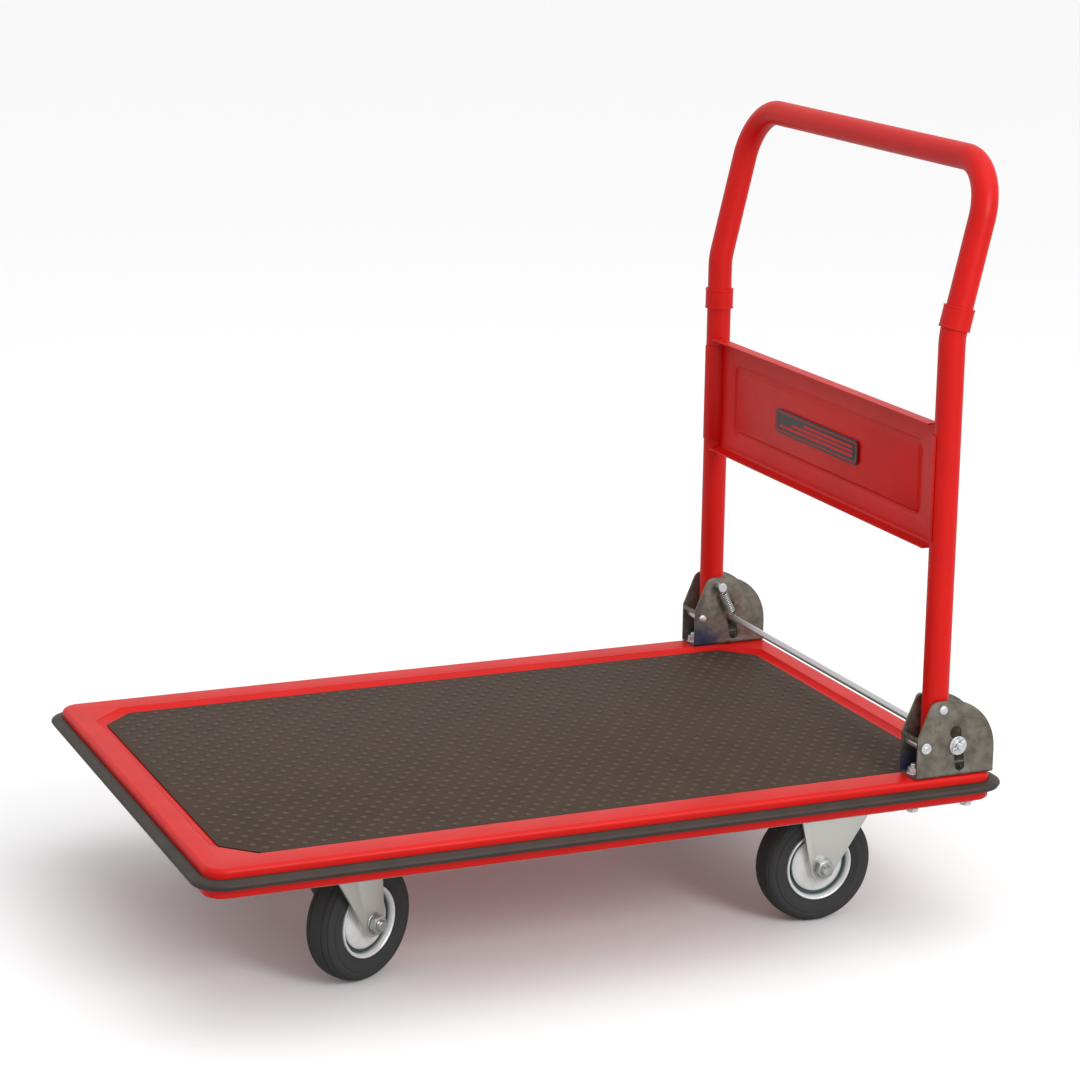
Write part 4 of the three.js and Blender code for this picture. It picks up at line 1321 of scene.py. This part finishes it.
def sun_light(name, toward, power, spread):
    lamp = bpy.data.lights.new(name, "SUN")
    lamp.energy = power
    lamp.angle = spread
    made = bpy.data.objects.new(name, lamp)
    made.rotation_euler = Vector(toward).to_track_quat("-Z", "Y").to_euler()
    bpy.context.scene.collection.objects.link(made)


def surround():
    """A pale surround that is bright to look at and gives a weaker, even fill."""
    world = bpy.data.worlds.new("surround")
    world.use_nodes = True
    tree = world.node_tree
    background = tree.nodes["Background"]
    background.inputs["Color"].default_value = (1, 1, 1, 1)
    path = tree.nodes.new("ShaderNodeLightPath")
    level = tree.nodes.new("ShaderNodeMapRange")
    level.inputs["To Min"].default_value = bpy.context.scene.cart_stage.glow
    tree.links.new(path.outputs["Is Camera Ray"], level.inputs["Value"])
    tree.links.new(level.outputs["Result"], background.inputs["Strength"])
    bpy.context.scene.world = world


def studio_floor():
    mesh = bpy.data.meshes.new("studio_floor")
    ground = bmesh.new()
    bmesh.ops.create_grid(ground, x_segments=1, y_segments=1, size=40.0)
    ground.to_mesh(mesh)
    ground.free()
    mesh.materials.append(floor_paint())
    made = bpy.data.objects.new("studio_floor", mesh)
    bpy.context.scene.collection.objects.link(made)


def studio_camera():
    """Places the camera by its own azimuth, elevation and roll, so that no target is needed."""
    stage = bpy.context.scene.cart_stage
    a, e, roll = stage.azimuth, stage.elevation, stage.roll
    back = Vector((sin(a) * cos(e), -cos(a) * cos(e), sin(e)))
    level = Vector((cos(a), sin(a), 0))
    right = level * cos(roll) + back.cross(level) * sin(roll)
    turn = Matrix((right, back.cross(right), back)).transposed().to_4x4()
    lens = bpy.data.cameras.new("studio_camera")
    lens.lens = stage.lens
    lens.sensor_width = 36.0
    lens.clip_end = 200.0
    made = bpy.data.objects.new("studio_camera", lens)
    made.matrix_world = Matrix.Translation(stage.camera_place) @ turn
    bpy.context.scene.collection.objects.link(made)
    bpy.context.scene.camera = made


# Operators --------------------------------------------------------------------------------------


class CART_OT_stage(bpy.types.Operator):
    """Makes the camera, the pale floor and the soft lights"""

    bl_idname = "cart.stage"
    bl_label = "Stage"

    def execute(self, context):
        context.scene.view_settings.view_transform = "Standard"
        studio_camera()
        studio_floor()
        surround()
        area_light("top_softbox", place=(0.2, 0.2, 3.4), aim=(0.0, 0.0, 0.2), size=(3.4, 2.6), power=12)
        area_light("front_softbox", place=(0.9, -3.4, 2.0), aim=(0.1, 0.0, 0.3), size=(1.2, 1.6), power=54)
        sun_light("overhead", toward=(-0.25, 0.4, -0.85), power=0.7, spread=radians(70))
        return {"FINISHED"}


class CART_OT_deck(bpy.types.Operator):
    """Makes the pressed steel deck"""

    bl_idname = "cart.deck"
    bl_label = "Deck"

    def execute(self, context):
        pressed_deck()
        return {"FINISHED"}


class CART_OT_mat(bpy.types.Operator):
    """Makes the studded rubber mat"""

    bl_idname = "cart.mat"
    bl_label = "Mat"

    def execute(self, context):
        studded_mat()
        return {"FINISHED"}


class CART_OT_bumper(bpy.types.Operator):
    """Makes the rubber strip round the deck"""

    bl_idname = "cart.bumper"
    bl_label = "Bumper"

    def execute(self, context):
        bumper_strip()
        return {"FINISHED"}


class CART_OT_underframe(bpy.types.Operator):
    """Makes the rails and the crossmembers under the deck"""

    bl_idname = "cart.underframe"
    bl_label = "Underframe"

    def execute(self, context):
        side_rails()
        crossmembers()
        return {"FINISHED"}


class CART_OT_hinges(bpy.types.Operator):
    """Makes the hinge brackets with their rivets and bolts"""

    bl_idname = "cart.hinges"
    bl_label = "Hinge brackets"

    def execute(self, context):
        for label, side in SIDES:
            hinge_bracket(label)
            rivets(label, side)
            for end in ("front", "rear"):
                hinge_bolt(end, label)
        return {"FINISHED"}


class CART_OT_handle(bpy.types.Operator):
    """Makes the bent tube, its collars, the panel and the label"""

    bl_idname = "cart.handle"
    bl_label = "Handle"

    def execute(self, context):
        bent_tube()
        sleeves()
        grooved_panel()
        plain_label()
        return {"FINISHED"}


class CART_OT_release(bpy.types.Operator):
    """Makes the cross rod, its washers and split pins, and the lock springs"""

    bl_idname = "cart.release"
    bl_label = "Release rod"

    def execute(self, context):
        cross_rod()
        for label, side in SIDES:
            rod_end(label, side)
            lock_spring(label)
        return {"FINISHED"}


class CART_OT_casters(bpy.types.Operator):
    """Makes two fixed and two swivel casters"""

    bl_idname = "cart.casters"
    bl_label = "Casters"

    def execute(self, context):
        for label, side in SIDES:
            fixed_caster(label, side)
            swivel_caster(label, side)
        return {"FINISHED"}


STEPS = (
    "stage", "deck", "mat", "bumper", "underframe", "hinges", "handle", "release", "casters",
)


class CART_PT_panel(bpy.types.Panel):
    """Lists the steps and the sizes and colours"""

    bl_idname = "CART_PT_panel"
    bl_label = "Folding platform cart"
    bl_space_type = "VIEW_3D"
    bl_region_type = "UI"
    bl_category = "Cart"

    def draw(self, context):
        for step in STEPS:
            self.layout.operator(f"cart.{step}")
        for group in (context.scene.cart_sizes, context.scene.cart_colours, context.scene.cart_stage):
            box = self.layout.box()
            for name in group.__annotations__:
                box.prop(group, name)


CLASSES = (
    CartSizes, CartColours, CartStage, CART_OT_stage, CART_OT_deck, CART_OT_mat, CART_OT_bumper,
    CART_OT_underframe, CART_OT_hinges, CART_OT_handle, CART_OT_release, CART_OT_casters, CART_PT_panel,
)


def register():
    for cls in CLASSES:
        bpy.utils.register_class(cls)
    bpy.types.Scene.cart_sizes = bpy.props.PointerProperty(type=CartSizes)
    bpy.types.Scene.cart_colours = bpy.props.PointerProperty(type=CartColours)
    bpy.types.Scene.cart_stage = bpy.props.PointerProperty(type=CartStage)


def unregister():
    del bpy.types.Scene.cart_stage
    del bpy.types.Scene.cart_colours
    del bpy.types.Scene.cart_sizes
    for cls in reversed(CLASSES):
        bpy.utils.unregister_class(cls)


def main():
    register()
    for step in STEPS:
        getattr(bpy.ops.cart, step)()


if __name__ == "__main__":
    main()
